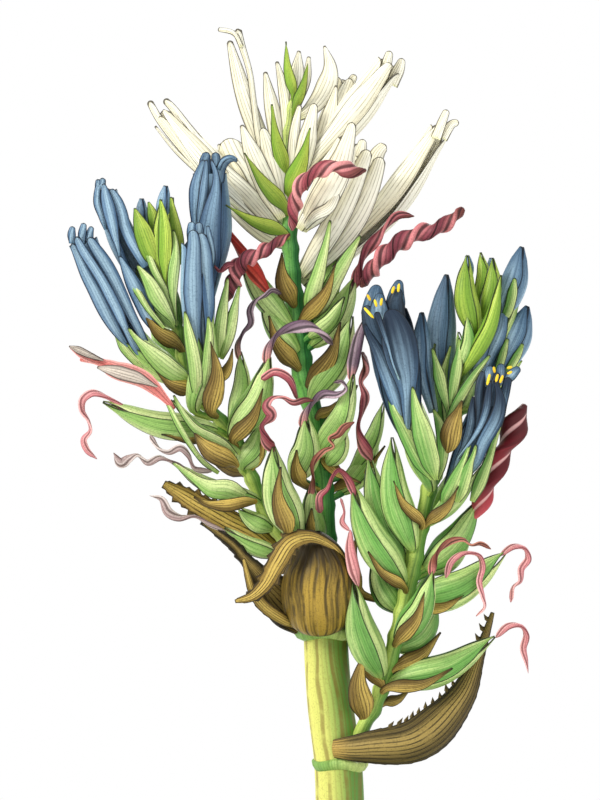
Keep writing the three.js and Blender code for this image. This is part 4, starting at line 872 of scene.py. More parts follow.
RIGHT_BRACTS = [
    [7.7, -4.8, 17, 7.6, -12, 40, 4], [12.9, -6, 26.4, 3.6, -8, 41.1, 2],
    [14.7, -8, 26.1, 35.7, -11, 32.7, 2.2], [13.5, -3, 21, 21.9, -2, 25.2, 1.8],
    [17.7, -12, 40.8, 25.8, -18, 56.7, 2.6], [24.9, -7, 49.5, 38.4, -9, 54, 2.2],
    [17.1, -6, 32.1, 31.8, -3, 43.2, 2.7], [18.9, -11, 56.4, 7.2, -16, 68.1, 1.9],
    [24.3, -12, 75.6, 15, -15, 89.1, 1.9], [26.7, -12, 75.9, 36, -16, 87.3, 2.1],
    [6.3, -3, 54, 5.1, -5, 73.2, 2.6], [17.7, 2, 40.8, 25.8, 8, 56.7, 2.6],
]
right_sepals, right_stems, right_buds, right_bracts = Tissue(), Tissue(), Tissue(), Tissue()
limb(right_stems, RIGHT_STEM, rows=130, sides=20, ribs=0.03,
     knots=[19, 25, 34, 41, 48, 54, 60, 65, 74, 85, 94, 101, 109, 118, 128])
RIGHT_SEPALS = [
    [[27.3, -13, 88.2, 0.6], [22.8, -15.4, 95.1, 2.3], [18.9, -17, 102.6, 2.1], [15.9, -18, 108.6, 1.3],
     [14.1, -18.4, 114.6, 0.15]],
    [[28.5, -13.4, 88.2, 0.7], [25.8, -17.6, 96.6, 2.9], [23.7, -20, 104.1, 3.1], [22.2, -20.6, 110.1, 1.8],
     [21.3, -20.6, 115.5, 0.15]],
    [[34.8, -13, 81.6, 0.8], [36.6, -15, 87.6, 2.2], [38.1, -16, 92.1, 1.9], [39.6, -16.4, 96, 0.8],
     [40.2, -16.4, 98.4, 0.15]],
    [[30.6, -11, 80, 0.8], [33.2, -14.4, 86, 2.3], [35.4, -15.6, 91, 1.9], [37.2, -16, 95.4, 0.9],
     [38.6, -16, 99, 0.15]],
    [[39.3, -12, 81.6, 0.8], [41.7, -13, 87.6, 1.9], [43.8, -13.6, 93, 1.4], [45.9, -13.6, 99.6, 0.8],
     [47.7, -13.4, 104.4, 0.15]],
    [[32.4, -11, 106, 0.3], [31.8, -12.6, 109.2, 0.8], [30.7, -13.4, 113.7, 1.5], [29.6, -13.6, 118.2, 1.8],
     [28.4, -13.4, 123, 0.9], [27.4, -13, 126.9, 0.15]],
    [[32.4, -11.6, 107, 0.3], [33.3, -13.4, 112.5, 1], [33.9, -14, 117, 1.6], [34.7, -14, 121.8, 1.7],
     [35.2, -13.8, 126, 0.9], [35.4, -13.4, 129.9, 0.15]],
    [[31.8, -12, 105, 0.6], [34.2, -13.8, 109.8, 1.3], [36.6, -14.6, 114, 1.5], [39.3, -14.8, 118.2, 1.3],
     [42, -14.4, 121.8, 0.8], [44.5, -14, 124.8, 0.15]],
    [[29.1, -11, 88, 0.5], [30.3, -12, 92.1, 1.3], [30.7, -12.6, 98.1, 1.8], [29.7, -12.6, 104.1, 1.4],
     [27.8, -12.2, 109, 0.15]],
    [[48, -6, 134, 0.6], [50.4, -7.6, 138.6, 1.5], [51.6, -8, 144, 1.5], [52.2, -8, 147.9, 0.3]],
    [[46, -6, 116, 0.8], [47.7, -7.6, 121.8, 1.3], [48.9, -8, 126, 1.2], [50.1, -8, 129.9, 0.2]],
    [[48.6, -6, 117, 0.7], [51.6, -7.6, 122.4, 1.3], [53.4, -8, 125.7, 1.2], [54.6, -8, 128.4, 0.3]],
]
RIGHT_WIDE_BRACTS = [
    [[32, -13, 96.4, 0.5], [32.5, -15.4, 98.8, 2.2], [32.9, -16.4, 102, 3.1], [33.9, -16.6, 105.6, 2.5],
     [35.1, -16, 108.6, 1.1], [36.1, -15.6, 111.4, 0.1]],
]
right = (right_sepals, right_stems, RIGHT_STEM)
florets(calyx, *right, rows=RIGHT_OPEN_CALYCES, opened=True)
straps(right_sepals, RIGHT_SEPALS)
florets(calyx, *right, rows=RIGHT_CALYCES + behind([RIGHT_CALYCES[i] for i in (0, 2, 5)]) + RIGHT_FAR_CALYCES)
florets(calyx, right_buds, right_stems, RIGHT_STEM, rows=RIGHT_BUDS)
florets(bract, right_bracts, RIGHT_STEM, rows=RIGHT_BRACTS)
straps(right_bracts, RIGHT_WIDE_BRACTS, bract_cup)
settle(right_stems.piece(), "right_spray_stem", stalk_finish, "stem", "right_spray")
settle(right_sepals.piece(sepal_thickness), "right_spray_calyces", deep_calyx_finish, "calyx", "right_spray")
settle(right_buds.piece(sepal_thickness), "right_spray_buds", bud_finish, "calyx", "right_spray")
settle(right_bracts.piece(bract_thickness), "right_spray_bracts", bract_finish, "bract", "right_spray")

# ---------------------------------------------------------------------------------------------
# Florets of the main axis: spent calyces with brown bracts below, and lime-green bracts between the
# ivory corollas at the top.
CENTRE_SEPALS = [
    [[-9, -3, 136, 1], [-8, -7, 143, 2.5], [-6, -9, 150, 2], [-4, -10, 158, 1.1], [-2.7, -10, 165, 0.2]],
    [[-9, -2, 136, 1], [-5, -6, 141, 2.5], [-1, -8, 148, 2.3], [3, -9, 155, 1.7], [6.3, -9, 160.5, 0.2]],
]
CENTRE_CALYCES = [
    [-5.6, -2, 68, -8.1, -7, 87.2, 3.3], [-12, -4, 88.2, -9.9, -10, 106.9, 4.2],
    [-5.7, -5, 96, 4.2, -13, 119.2, 3.6], [-7.8, -3, 112.5, 3.9, -6, 136.6, 4.2],
    [-8.1, -1, 128.1, 4.8, -3, 148.3, 4], [-14.7, -2, 133.8, -29.5, -2, 158, 3.5],
    [-12.9, -2, 126.6, -23.1, -3, 141.6, 3.2], [3.5, 1, 90, 13.5, 2, 111, 2.4],
    [1, 1, 84, 11.7, 4, 100.5, 3.3], [-2.4, -5, 93.5, 1.8, -8, 102.6, 2.8],
    [-8.3, -3, 131, 1.5, -9, 142.2, 2.4],
]
CENTRE_BRACTS = [
    [-6.6, -4, 69.5, -8.4, -9, 80.5, 2.6], [-11, -7, 87, -12.9, -12, 97.9, 2.6],
    [-14.2, -4, 141.6, -17.4, -10, 157, 3.3], [-13, -3, 122.1, -21.9, -7, 138.4, 3],
    [-10.6, -5, 135.9, 0, -13, 154, 2.6], [-8.4, -4, 117, 1.2, -13, 136.6, 3.2],
    [-4.5, 0, 104, 6.6, -2, 117.4, 2.1], [-2, 0, 84.6, 15.6, 1, 99.3, 1.8], [-5.2, -3, 95, 7.8, -7, 86, 2.2],
    [-6.1, -3, 107, 0.7, -6, 112.3, 1.8],
]
TOP_BRACTS = [
    [-15.9, -2, 179.7, -20.1, -8, 199.6, 2.392], [-14.9, -3, 174.6, -8.7, -10, 192.4, 3.036],
    [-16.2, -3, 169.2, -28.2, -9, 185, 2.576], [-16.4, -2.4, 161.6, -33.7, -11, 169.4, 2.392],
    [-13.6, -1, 203, -15.9, -3, 218.8, 1.748], [-13.4, -1, 198.9, -9.3, -4, 212.2, 1.656],
]
far_calyx = [-8.8, 1, 135.6, -2.7, 9, 165, 4.6]
centre_sepals, centre_stalks, centre_bracts, top_bracts = Tissue(), Tissue(), Tissue(), Tissue()
straps(centre_sepals, CENTRE_SEPALS)
far_calyces = behind([CENTRE_CALYCES[i] for i in (1, 3, 4)], 0) + [far_calyx]
florets(calyx, centre_sepals, centre_stalks, SCAPE, rows=CENTRE_CALYCES + far_calyces)
florets(bract, centre_bracts, SCAPE, rows=CENTRE_BRACTS + behind([CENTRE_BRACTS[i] for i in (2, 5)], 0))
florets(bract, top_bracts, SCAPE, rows=TOP_BRACTS + behind(TOP_BRACTS[:2], 0), length=1.0, bow=0.04)
settle(centre_stalks.piece(), "main_axis_stalks", axis_finish, "stem", "main_stem")
settle(centre_sepals.piece(sepal_thickness), "main_axis_calyces", calyx_finish, "calyx", "main_stem")
settle(centre_bracts.piece(bract_thickness), "main_axis_bracts", bract_finish, "bract", "main_stem")
settle(top_bracts.piece(bract_thickness), "top_lime_bracts", bud_finish, "bract", "main_stem")

# ---------------------------------------------------------------------------------------------
# Large bracts: dry brown blades with sawn margins that clasp the scape and the feet of the sprays.
# The spathe bulges round the left spray's foot, and a torn strap of it is folded over to the left.
large_bract_thickness = 0.9 * MM
needle_length, needle_pitch = 2.1 * MM, 3.3 * MM
high_bract_turn = math.radians(150)  # round the scape from the front


def blade(tissue, places, *, cup=0.45, ragged=0.8, torn_from=0.0, pitch=3.2, rows=90, ruffle=0.25,
          needles=None):
    """A long blade through places x, y, z, half width: cup bulges it to the front, and its margins are
    notched by up to ragged mm from a share of its length on. Needles stand on its upper margin."""
    course, width = strap_form(places)
    v, u = weave(rows, 13)
    half = smooth(width, v)
    beat = v * course.length / (pitch * MM) + np.where(u > 0, 0.4, 0)
    uneven = np.array([luck.uniform(0.3, 1) for _ in range(int(beat.max()) + 2)])[beat.astype(int)]
    notch = np.clip((beat % 1 - 0.35) / 0.65, 0, 1) * uneven * np.clip((v - torn_from) / 0.2, 0, 1)
    reach = half * u + np.sign(u) * ragged * notch * np.abs(u) ** 8 * np.minimum(1, half / 2)
    folds = np.sin(u * 7 + 4 * v) + 0.5 * np.sin(u * 15 + 9 * v)
    bulge = half * (cup * (1 - u**2) + 0.04 * folds * (1 - u**4)) + ruffle * np.sin(v * 19) * np.abs(u) ** 3
    tissue.sheet(beside(course.at(v), reach, bulge), luck.random())
    for station in np.arange(needles, 0.98, needle_pitch / course.length) if needles else ():
        foot, ahead, outward = course.at(station)[:3]
        foot = foot + outward * smooth(width, station) * MM * 0.95
        hook(tissue, foot, outward, ahead, needle_length * luck.uniform(0.6, 1), luck.random())


# Lighter along a blade's middle and deeper towards its margins: a painted highlight and painted shade. The
# spathe's upper part is darkened as well, painted shade under its folded strap.
brown_finish = tissue_finish("dry brown bract", "#988245", "#443917", "#241c09", "#171105", veins=9,
                             strength=0.85, foot="#b3944a", foot_to=0.1, roughness=0.62, spread=0.05,
                             depth=0.00025, hatch=0.75)
ochre_finish = tissue_finish("ochre bract", "#cbae58", "#84692b", "#332608", "#221a08", veins=6,
                             strength=0.9, foot="#8a7030", foot_to=0.12, roughness=0.6, spread=0.05,
                             depth=0.00025, hatch=0.6)
golden_finish = tissue_finish("golden spathe", "#a88a34", "#403310", "#2a2008", "#171105", veins=16,
                              strength=0.75, foot="#5c4a18", foot_to=0.1, tip="#33270b", tip_from=0.4,
                              tip_to=0.85, patchy=0.9, streaks=22.0, spread=0.02, depth=0.0003, hatch=0.8)
LARGE_BRACTS = {  # name: finish, form, places x, y, z, half width
    "bract_outer_left": (brown_finish, {"cup": -0.5, "torn_from": 0.45, "ragged": 0.8},
        [[-9.5, -4, 45.4, 5], [-18.4, -8, 53.6, 6.7], [-24, -10, 60, 5.2], [-28, -10, 64.4, 2.6],
         [-31.4, -10, 68.4, 1.5], [-36, -9.5, 72, 1.2], [-41.2, -9, 75.2, 0.3]]),
    "bract_upper_left": (ochre_finish, {"cup": 0.35, "torn_from": 0.5, "ragged": 2.6, "pitch": 2.8},
        [[-12, -2, 60.4, 3], [-25.2, -2, 71.2, 2.6], [-34.2, -3, 76, 3.2], [-41.7, -4, 80.2, 3.3],
         [-47.7, -4, 83.8, 2.8], [-52.4, -4, 86.6, 0.9]]),
    "bract_lower_right": (brown_finish, {"cup": 0.6, "ragged": 0.2, "needles": 0.24, "rows": 110},
        [[-1.5, -5.4, 7.6, 2.4], [7.8, -7.6, 8.2, 5], [22.8, -8, 10.5, 6.2], [36.3, -3, 22.5, 4.2],
         [43, 1, 38, 1.7], [46.2, 2, 47.7, 0.3]]),
    "bract_scape_low": (brown_finish, {"cup": 0.2},
        [[1, -6.6, -98, 6], [2.5, -7.4, -78, 6.4], [5, -9.6, -54, 4.4], [8, -14, -34, 0.8]]),
    "bract_scape_high": (brown_finish, {"cup": 0.2},
        [[1, -6.2, -74, 5.6], [-1.5, -7, -56, 6], [-4, -8.6, -34, 3.8], [-6, -12, -18, 0.8]]),
}
for name, (finish, form, places) in LARGE_BRACTS.items():
    tissue = Tissue()
    blade(tissue, places, **form)
    if name == "bract_scape_high":
        cosine, sine = math.cos(high_bract_turn), math.sin(high_bract_turn)
        spun = np.array([[cosine, -sine, 0], [sine, cosine, 0], [0, 0, 1]])
        tissue.points = [points @ spun.T for points in tissue.points]
    settle(tissue.piece(large_bract_thickness), name + "_blade", finish, "bract", name)

spathe, torn_strap, rim = Tissue(), Tissue(), Tissue()
spathe_course = Course(in_panicle([(-5, -4.8, 43.4), (-6.2, -8, 54), (-6.6, -9, 64), (-7.6, -10, 72)]))
bulb = [(0, 5), (0.06, 7.8), (0.16, 9.8), (0.36, 10.9), (0.6, 9.8), (0.8, 7), (0.93, 4), (1, 1.6)]
whorl(spathe, spathe_course, 0.0, bulb, [(0, 172), (1, 168)], parts=1, turn=1.45, lap=0.5, flat=0.86,
      rows=52, columns=73, crease=0.022, twist=0.12)
strap_way = [[3.8, -8, 52, 0.25], [2.8, -9.6, 60, 0.5], [-0.2, -11, 66.4, 0.7], [-4.6, -13, 69.8, 1.1],
             [-9.6, -15, 71.2, 1.7], [-14.6, -16.2, 69.4, 2.4], [-18.4, -16.5, 63.6, 2.9],
             [-22.2, -16, 57, 2.4], [-26, -15.6, 53.6, 1.5], [-30.8, -15, 52.2, 0.4]]
blade(torn_strap, strap_way, cup=0.25, torn_from=0.3, ragged=1.6, pitch=3.4, ruffle=0.2, rows=140)
rim_way = [[-12.4, -5, 44, 0.9], [-18, -10, 47.2, 1.5], [-22.8, -12.6, 51, 1.7], [-25.8, -13.6, 55.4, 1.5],
           [-27.2, -13.4, 60, 1], [-28.4, -12.6, 64.6, 0.3]]
blade(rim, rim_way, cup=0.5, ragged=0.3, rows=60)
settle(spathe.piece(large_bract_thickness, 70), "spathe_bulb", golden_finish, "bract", "spathe")
settle(torn_strap.piece(large_bract_thickness, 70), "spathe_strap", ochre_finish, "bract", "spathe")
settle(rim.piece(bract_thickness, 70), "bract_outer_left_rim", ochre_finish, "bract", "bract_outer_left")

# ---------------------------------------------------------------------------------------------
# Blue corollas: three soft satin petals each. The open ones are a plain tube with their petals' straps
# over it, lips, and dark sheets of painted shadow in the throat; the buds are rolled to a point; the widest
# two show yellow anthers.
petal_thickness, anther_girth = 0.4 * MM, 0.45 * MM
petal_lift, petal_flatness = 0.22, 0.9  # mm between one petal and the next over it; depth by width


def tepal(tissue, course, girth, facing, half, end, cut, lobe, lift, twist, tone):
    """One petal pressed round a corolla's course. facing turns its middle from the front to the right
    and half is half its width, in degrees; cut rounds its left and right corners off, as a share of
    the course; lobe bends its end outward and lift holds it off its neighbours, in mm."""
    v, u = weave(30, 13)
    reach = (end - np.where(u < 0, cut[0], cut[1]) * np.abs(u) ** 2.4) * v
    width = half * smooth([(0, 0.9), (0.35, 0.85), (0.7, 1), (1, 0.7)], v)
    angle = np.radians(90 + facing + u * width) + twist * reach
    bent = lobe * np.clip((reach - end + 0.14) / 0.14, 0, 1) ** 2
    radius = smooth(girth, reach) + lift + bent + 0.1 * np.sin(u * 5 + 4 * reach + facing)
    points = beside(course.at(reach), radius * np.cos(angle), radius * petal_flatness * np.sin(angle))
    tissue.sheet(points, tone)


def corolla(tissue, row, petals=None, opened=True, bow=0.05, mouth=0.66, twist=0.2, bare=False):
    """A corolla along places x, y, z, with its widest radius last; mouth is the share of that radius
    that it opens to. It has a back petal, two flanks unless it is bare, and the petals in front as rows
    of facing, half, end, cut and lobe."""
    *way, radius = row
    way = [tuple(way[i : i + 3]) for i in range(0, len(way), 3)]
    if len(way) == 2:
        (x0, y0, z0), (x1, y1, z1) = way
        aside = bow if x1 >= x0 else -bow
        way.insert(1, ((x0 + x1) / 2 + aside * (z1 - z0), (y0 + y1) / 2, (z0 + z1) / 2 - aside * (x1 - x0)))
    girth = [(0, radius * 0.32), (0.3, radius * 0.72)]
    if opened:
        girth += [(0.62, radius), (0.84, radius * min(1, 0.5 + 0.5 * mouth)),
                  (0.94, radius * (0.25 + 0.7 * mouth)), (1, radius * mouth)]
        body = [(180, 96, 0.98, (0.05, 0.05), 0.4), (-78, 62, 0.96, (0.12, 0.04), 0.4),
                (78, 62, 0.95, (0.04, 0.12), 0.4)]
        front = [(-8, 38, 0.97, (0.08, 0.08), 0.3)]
        if bare:
            body, front = [(180, 118, 0.97, (0.04, 0.04), 0.2)], []
    else:
        girth += [(0.6, radius), (0.84, radius * 0.62), (0.96, radius * 0.2), (1, 0.12)]
        body = [(180, 96, 1.0, (0.02, 0.02), 0), (70, 72, 1.0, (0.02, 0.03), 0)]
        front = [(-44, 62, 1.0, (0.02, 0.02), 0)]
    course, tone = Course(in_panicle(way)), luck.random()
    for index, shape in enumerate(body + (front if petals is None else petals)):
        shade = min(1, max(0, tone + luck.uniform(-0.2, 0.2)))
        tepal(tissue, course, girth, *shape, lift=petal_lift * index, twist=twist, tone=shade)


def anther(tissue, foot, head):
    """A slim yellow anther from its foot to its head."""
    length = np.linalg.norm(head - foot)
    heading = unit(head - foot)
    side = unit(np.cross(heading, (0.3, 0.8, 0.5)))
    round_it = np.outer(np.cos(spokes(8)), side) + np.outer(np.sin(spokes(8)), np.cross(heading, side))
    profile = ((0.0, 0.5), (0.15, 0.9), (0.5, 1.0), (0.85, 0.85), (0.98, 0.4))
    rings = [foot + heading * length * share + anther_girth * wide * round_it for share, wide in profile]
    tissue.tube(np.array(rings), foot - heading * 0.0002, foot + heading * length * 1.02, luck.random())


def blue_finish(name, pale, deep, vein, foot, **form):
    return tissue_finish(name, pale, deep, vein, "#0b121c", veins=5, strength=0.28, foot=foot,
                         foot_to=0.22, roughness=0.55, **form)


# Blue petals are deeper towards their margins as painted shade; shaded_blue is a darker copy of light_blue
# that paints shade on left_bloom_3.
light_blue = blue_finish("light blue petal", "#90adbf", "#45678a", "#2c4660", "#5f8198")
shaded_blue = blue_finish("shaded blue petal", "#7d9cb3", "#38587a", "#1f344a", "#55788f")
mid_blue = blue_finish("blue bud", "#95b2c6", "#4c6f8c", "#253b50", "#9bb8ba", tip="#42607a", tip_from=0.4)
deep_blue = blue_finish("deep blue petal", "#87a6bc", "#3f6282", "#1b2c3e", "#8fb0b4", tip="#1f3044",
                        tip_from=0.35, tip_to=0.9)
# A near-black blue that paints the shadow inside a bloom's mouth, where its petals part.
throat_shadow_blue = blue_finish("painted throat shadow", "#34495c", "#1d2b39", "#0d151e", "#34495c")
OPEN_BLUE = {  # name: way of the tube and its widest radius, form, finish, straps
    "left_bloom_1": (
        [-54, -9.5, 118.5, -59.5, -10.4, 126, -67.8, -11.2, 141.6, -73.5, -12, 152.4, -77, -12, 160.5, 4.3],
        {"mouth": 0.8, "petals": []}, light_blue,
        [[[-79.2, -12.4, 158, 0.9], [-79.2, -13, 161.4, 1.2], [-78.9, -13, 163, 0.7]],
         [[-76.5, -12.4, 158, 1.2], [-75.9, -13, 162.3, 1.2], [-75.6, -13, 164, 0.7]],
         [[-74.4, -12, 158, 1.5], [-73.8, -12.4, 161.4, 1.2], [-73.3, -12.4, 163, 0.6]],
         [[-62.7, -12.6, 127.5, 0.5], [-65.4, -13.4, 131.1, 1.35], [-68.1, -14, 135.6, 1.9],
          [-70.2, -14.4, 139.8, 2.15], [-72.6, -14.6, 144.6, 2], [-74.7, -14.8, 148.5, 1.75],
          [-76.8, -15, 153, 1.3], [-79, -15, 157.8, 0.8]],
         [[-55.5, -11.6, 124, 0.4], [-58, -12.6, 129.6, 0.9], [-60.3, -13.2, 134.1, 1.3],
          [-62.4, -13.6, 138.3, 1.5], [-64.5, -14, 142.8, 1.8], [-66.6, -14.2, 147.3, 1.9],
          [-69.3, -14.4, 152.1, 2], [-72.3, -14.6, 156.6, 1.8], [-74.1, -14.6, 159.6, 1.2]],
         [[-58.5, -12.6, 123.6, 0.5], [-61.4, -13.6, 129, 1.2], [-63.9, -14.6, 134.1, 1.1],
          [-65.7, -15, 138.3, 1.6], [-67.8, -15.4, 142.5, 1.65], [-70.2, -15.6, 147, 1.5],
          [-73.2, -15.8, 151.8, 1.4], [-75.9, -16, 156, 1.35], [-77.8, -16, 159.8, 0.9]]]),
    "left_bloom_2": (
        [-50.3, -9.3, 136, -57, -9.6, 145, -63, -9.8, 156, -67, -10, 166, -69.9, -10, 175.5, 3.9],
        {"mouth": 0.5, "petals": []}, light_blue,
        [[[-71.7, -12.4, 173.6, 0.9], [-71.4, -12.8, 177, 0.6]],
         [[-70.2, -12.4, 174.2, 1.2], [-70.1, -12.8, 177.4, 0.8]],
         [[-69.3, -12.4, 162, 0.3], [-70.5, -12.8, 166.2, 0.95], [-71.7, -12.8, 170.1, 1.1],
          [-71.4, -12.6, 174.6, 0.9], [-70.4, -12.4, 176.4, 0.5]],
         [[-57.3, -12, 151.2, 1.4], [-59.4, -12.4, 154.8, 1.7], [-61.8, -12.6, 159, 1.8],
          [-63.6, -12.8, 163.2, 1.8], [-64.5, -12.8, 167.1, 1.7], [-66, -12.8, 171, 1.5],
          [-67.8, -12.6, 174, 0.8]],
         [[-53, -11, 130, 0.5], [-56, -12, 135.4, 1.6], [-58.8, -12.8, 141.6, 2.4],
          [-60.3, -13.2, 144.6, 2.5], [-61.8, -13.4, 147.6, 2.2], [-63.6, -13.4, 151.2, 1.4],
          [-65.1, -13.4, 154.2, 0.3]],
         [[-64.8, -13, 153, 0.2], [-65.4, -13.4, 156, 0.7], [-66.3, -13.8, 159.6, 1.3],
          [-67.2, -14, 163.8, 1.75], [-68.1, -14, 167.7, 1.9], [-69, -13.8, 171.6, 1.55],
          [-69.8, -13.6, 175.6, 0.4]]]),
    "left_bloom_3": (
        [-43, -4.6, 131, -40.4, -5, 148, -38.2, -5.4, 162, -38.5, -5.8, 174, -39, -6, 181.5, 5.6],
        {"mouth": 0.72, "petals": []}, shaded_blue,
        [[[-39.9, -7, 179, 1.8], [-39.9, -7.4, 183, 1.7], [-39.2, -7.6, 185.4, 1.2]],
         [[-36.9, -6.6, 179, 1.6], [-36.7, -7, 183, 1.5], [-37, -7.2, 185.4, 1.1]],
         [[-36.2, -7.6, 175, 1.2], [-35.2, -8.6, 180.4, 1.8], [-33, -9.4, 182.7, 1.5],
          [-31.2, -9.6, 183, 0.9], [-30.3, -9.6, 182.4, 0.25]],
         [[-36, -9.6, 180.2, 0.6], [-34.4, -10.6, 182.9, 0.7], [-32.2, -11, 183.7, 0.55],
          [-30.4, -10.6, 183, 0.2]],
         [[-42.6, -8, 159.6, 1.2], [-42.6, -9.4, 165.6, 1.4], [-42.4, -10, 171.6, 2], [-42, -10, 177, 2.3],
          [-41, -9.6, 180.8, 1.5], [-40.2, -9.4, 182.9, 0.6]],
         [[-41.7, -8.4, 159.6, 0.9], [-41.3, -10.4, 165.6, 1.05], [-40.5, -11.2, 171.6, 1.35],
          [-39.9, -11, 177, 1.35], [-39.6, -10.4, 180.6, 0.95], [-39.5, -10, 182.9, 0.25]],
         [[-41.7, -6.6, 132.6, 1.5], [-40.2, -8.6, 144.6, 2.4], [-39.3, -10.4, 156.6, 3.3],
          [-37.8, -12, 167.1, 4.35], [-36.6, -12, 174, 3.6], [-36.6, -11.2, 178.5, 2.55],
          [-37.7, -10.4, 181.8, 1.1], [-38.1, -10, 183, 0.3]]]),
    "left_bloom_4": ([-42, -10.6, 114, -41.6, -12.6, 130, -42.2, -14.4, 146, -42.6, -15.5, 160, 4.6],
        {"mouth": 0.72, "twist": 0.0, "petals": []}, light_blue,
        [[[-43.8, -15.6, 158, 1.2], [-43.7, -16.4, 162, 1.3], [-43.5, -16.4, 164.2, 1]],
         [[-41.4, -15.6, 158, 1.2], [-41.4, -16.4, 162, 1.3], [-41.7, -16.4, 164, 1]],
         [[-37.8, -14, 150, 0.4], [-37.6, -16.6, 155, 1], [-38.4, -17, 160, 0.9], [-38.9, -17, 163, 0.3]],
         [[-40.3, -12.4, 122, 0.4], [-40.1, -13.6, 127, 1.4], [-39.9, -14.6, 132, 2.1],
          [-39.6, -15.8, 141, 2.8], [-39.8, -17, 150, 2.6], [-40.2, -17.6, 156.4, 2.4],
          [-41, -17.6, 160.8, 1.5]],
         [[-40.8, -13, 122.4, 0.1], [-41.6, -14.4, 127, 1.2], [-42.6, -15.8, 132, 1.8],
          [-43.05, -17.2, 138.6, 2.3], [-43.2, -18, 144.6, 2.75], [-43.1, -18.4, 152.1, 2.45],
          [-42.9, -18.4, 158.1, 2.1], [-43.3, -18, 161.6, 1.5]]]),
    "right_bloom_1": (
        [24.5, -11.5, 95, 19.4, -13, 108, 17.2, -15, 120, 14.8, -16, 132, 12.8, -16.6, 140, 6.8],
        {"mouth": 1.02, "bare": True}, deep_blue,
        [[[19.5, -16, 102.6, 0.4], [17.7, -17.6, 108, 1.3], [15.6, -18.8, 114, 2.1], [13.5, -19.4, 120, 2.3],
         [11.1, -19.6, 126, 2], [8.8, -19.4, 130.4, 1.3], [7.3, -19, 134, 0.3]],
         [[20.2, -16, 100.6, 0.1], [20, -17.4, 104, 0.9], [19.8, -18.6, 108.6, 1.6],
          [19.8, -19.6, 113.1, 2.1], [19.4, -20.6, 118.2, 3], [18.4, -21.4, 123.6, 4.1],
          [17.5, -21.8, 128.1, 4.9], [16.4, -22, 132.6, 5.1], [15.3, -22, 135.6, 4.3],
          [13.9, -22, 137.9, 2.9]],
         [[17.4, -21.8, 117.6, 0.2], [15.3, -22.8, 123, 0.4], [14.1, -23.6, 127.2, 0.55],
          [12.5, -24, 132, 0.7], [10.6, -24, 137.4, 0.8]]]),
    "right_bloom_7": ([32.5, -10, 86, 37.6, -12, 97, 42.6, -13.4, 107, 47.2, -14, 116.5, 4.5],
        {"mouth": 1.0, "bare": True}, deep_blue,
        [[[34.4, -12.4, 90.6, 0.9], [35.4, -13.4, 94.6, 1], [36.8, -14, 98.4, 0.8], [38.1, -14.8, 102, 1.3],
         [38.8, -15.2, 105, 1.4], [39, -15.4, 108.6, 1], [39.4, -15.4, 112.6, 0.25]],
         [[47.1, -13.4, 104, 0.8], [48, -15, 110, 1.4], [49.2, -15.6, 115.6, 1.4], [49.9, -15.8, 118.4, 1.1]],
         [[35.1, -14.6, 94.5, 0.3], [37.5, -16, 97.8, 0.5], [39.6, -17, 100.8, 0.7],
          [41.6, -17.6, 104.4, 0.9], [42.9, -18, 108, 1.1], [43.5, -18.2, 111, 1.15], [43.8, -18.2, 114, 0.9],
          [44.3, -18, 117.4, 0.3]],
         [[38, -13, 90, 1], [40.4, -14.4, 93.6, 1.5], [41.4, -15.6, 96.6, 1.8], [42.6, -16.6, 99.6, 2],
          [44.3, -17.4, 102.6, 2.1], [45.9, -18, 105.6, 2.15], [47, -18.4, 109.2, 2],
          [47.1, -18.6, 112.5, 1.6], [46.4, -18.6, 115.2, 0.9], [45.5, -18.4, 117.4, 0.2]]]),
    "right_bloom_5": ([39, -4.6, 117, 43.6, -4, 126, 47, -3.4, 134, 48.6, -3, 140, 2.6],
        {"mouth": 0.7, "petals": []}, mid_blue,
        [[[42.4, -5.6, 119, 1.6], [44.7, -7, 125.1, 2.2], [46.5, -7.6, 129, 2.35], [47.9, -7.6, 132.6, 2.4],
         [48.6, -7.2, 136.2, 2], [48.9, -6.6, 139.2, 1.5], [48.7, -6.4, 141.4, 0.9]],
         [[39.9, -7.6, 120, 0.9], [42, -8.6, 125.1, 2.1], [43.4, -9, 129, 1.8], [44.6, -9, 132.6, 1.2],
          [45.4, -9, 136.8, 0.2]]]),
}
BLUE_BUDS = {
    "right_bloom_2": [28, -10.5, 108, 24.4, -12, 137.6, 2.6],
    "right_bloom_3": [33, -6.5, 106, 32, -7, 149, 4.1],
    "right_bloom_4": [45.6, -5.6, 131, 54.6, -5, 157.3, 3.6],
    "right_bloom_6": [46, -5.6, 116.5, 56.2, -5, 139.6, 3.8],
}
PETAL_LIPS = [
    [[12, -15.6, 130, 2.6], [10.5, -16.6, 138.6, 3.7], [10.5, -16.8, 141.6, 4.2], [10.8, -16.6, 143.9, 3.2],
     [11.3, -16.4, 145.4, 1.8]],
    [[11.6, -18.4, 135.4, 2.3], [11.5, -18.8, 139.4, 2.7], [11.7, -18.6, 141.8, 2.1], [12, -18.4, 143, 1.1]],
    [[16.2, -15.2, 134, 2.2], [16.5, -16, 140.1, 2.6], [16.8, -16.4, 143.1, 2.8], [17.4, -16.4, 145.7, 2.2],
     [17.7, -16.2, 146.9, 1.2]],
    [[44, -15, 115.6, 1.2], [44.1, -15.8, 119.4, 1.7], [44.4, -15.8, 121.8, 1]],
    [[47.7, -13.4, 116, 1.3], [47.7, -14.2, 120.3, 1.6], [47.7, -14.2, 122.4, 1]],
    [[49.2, -14, 117, 1], [51.2, -15, 119.4, 1.5], [53.2, -15, 121.2, 0.9]],
]
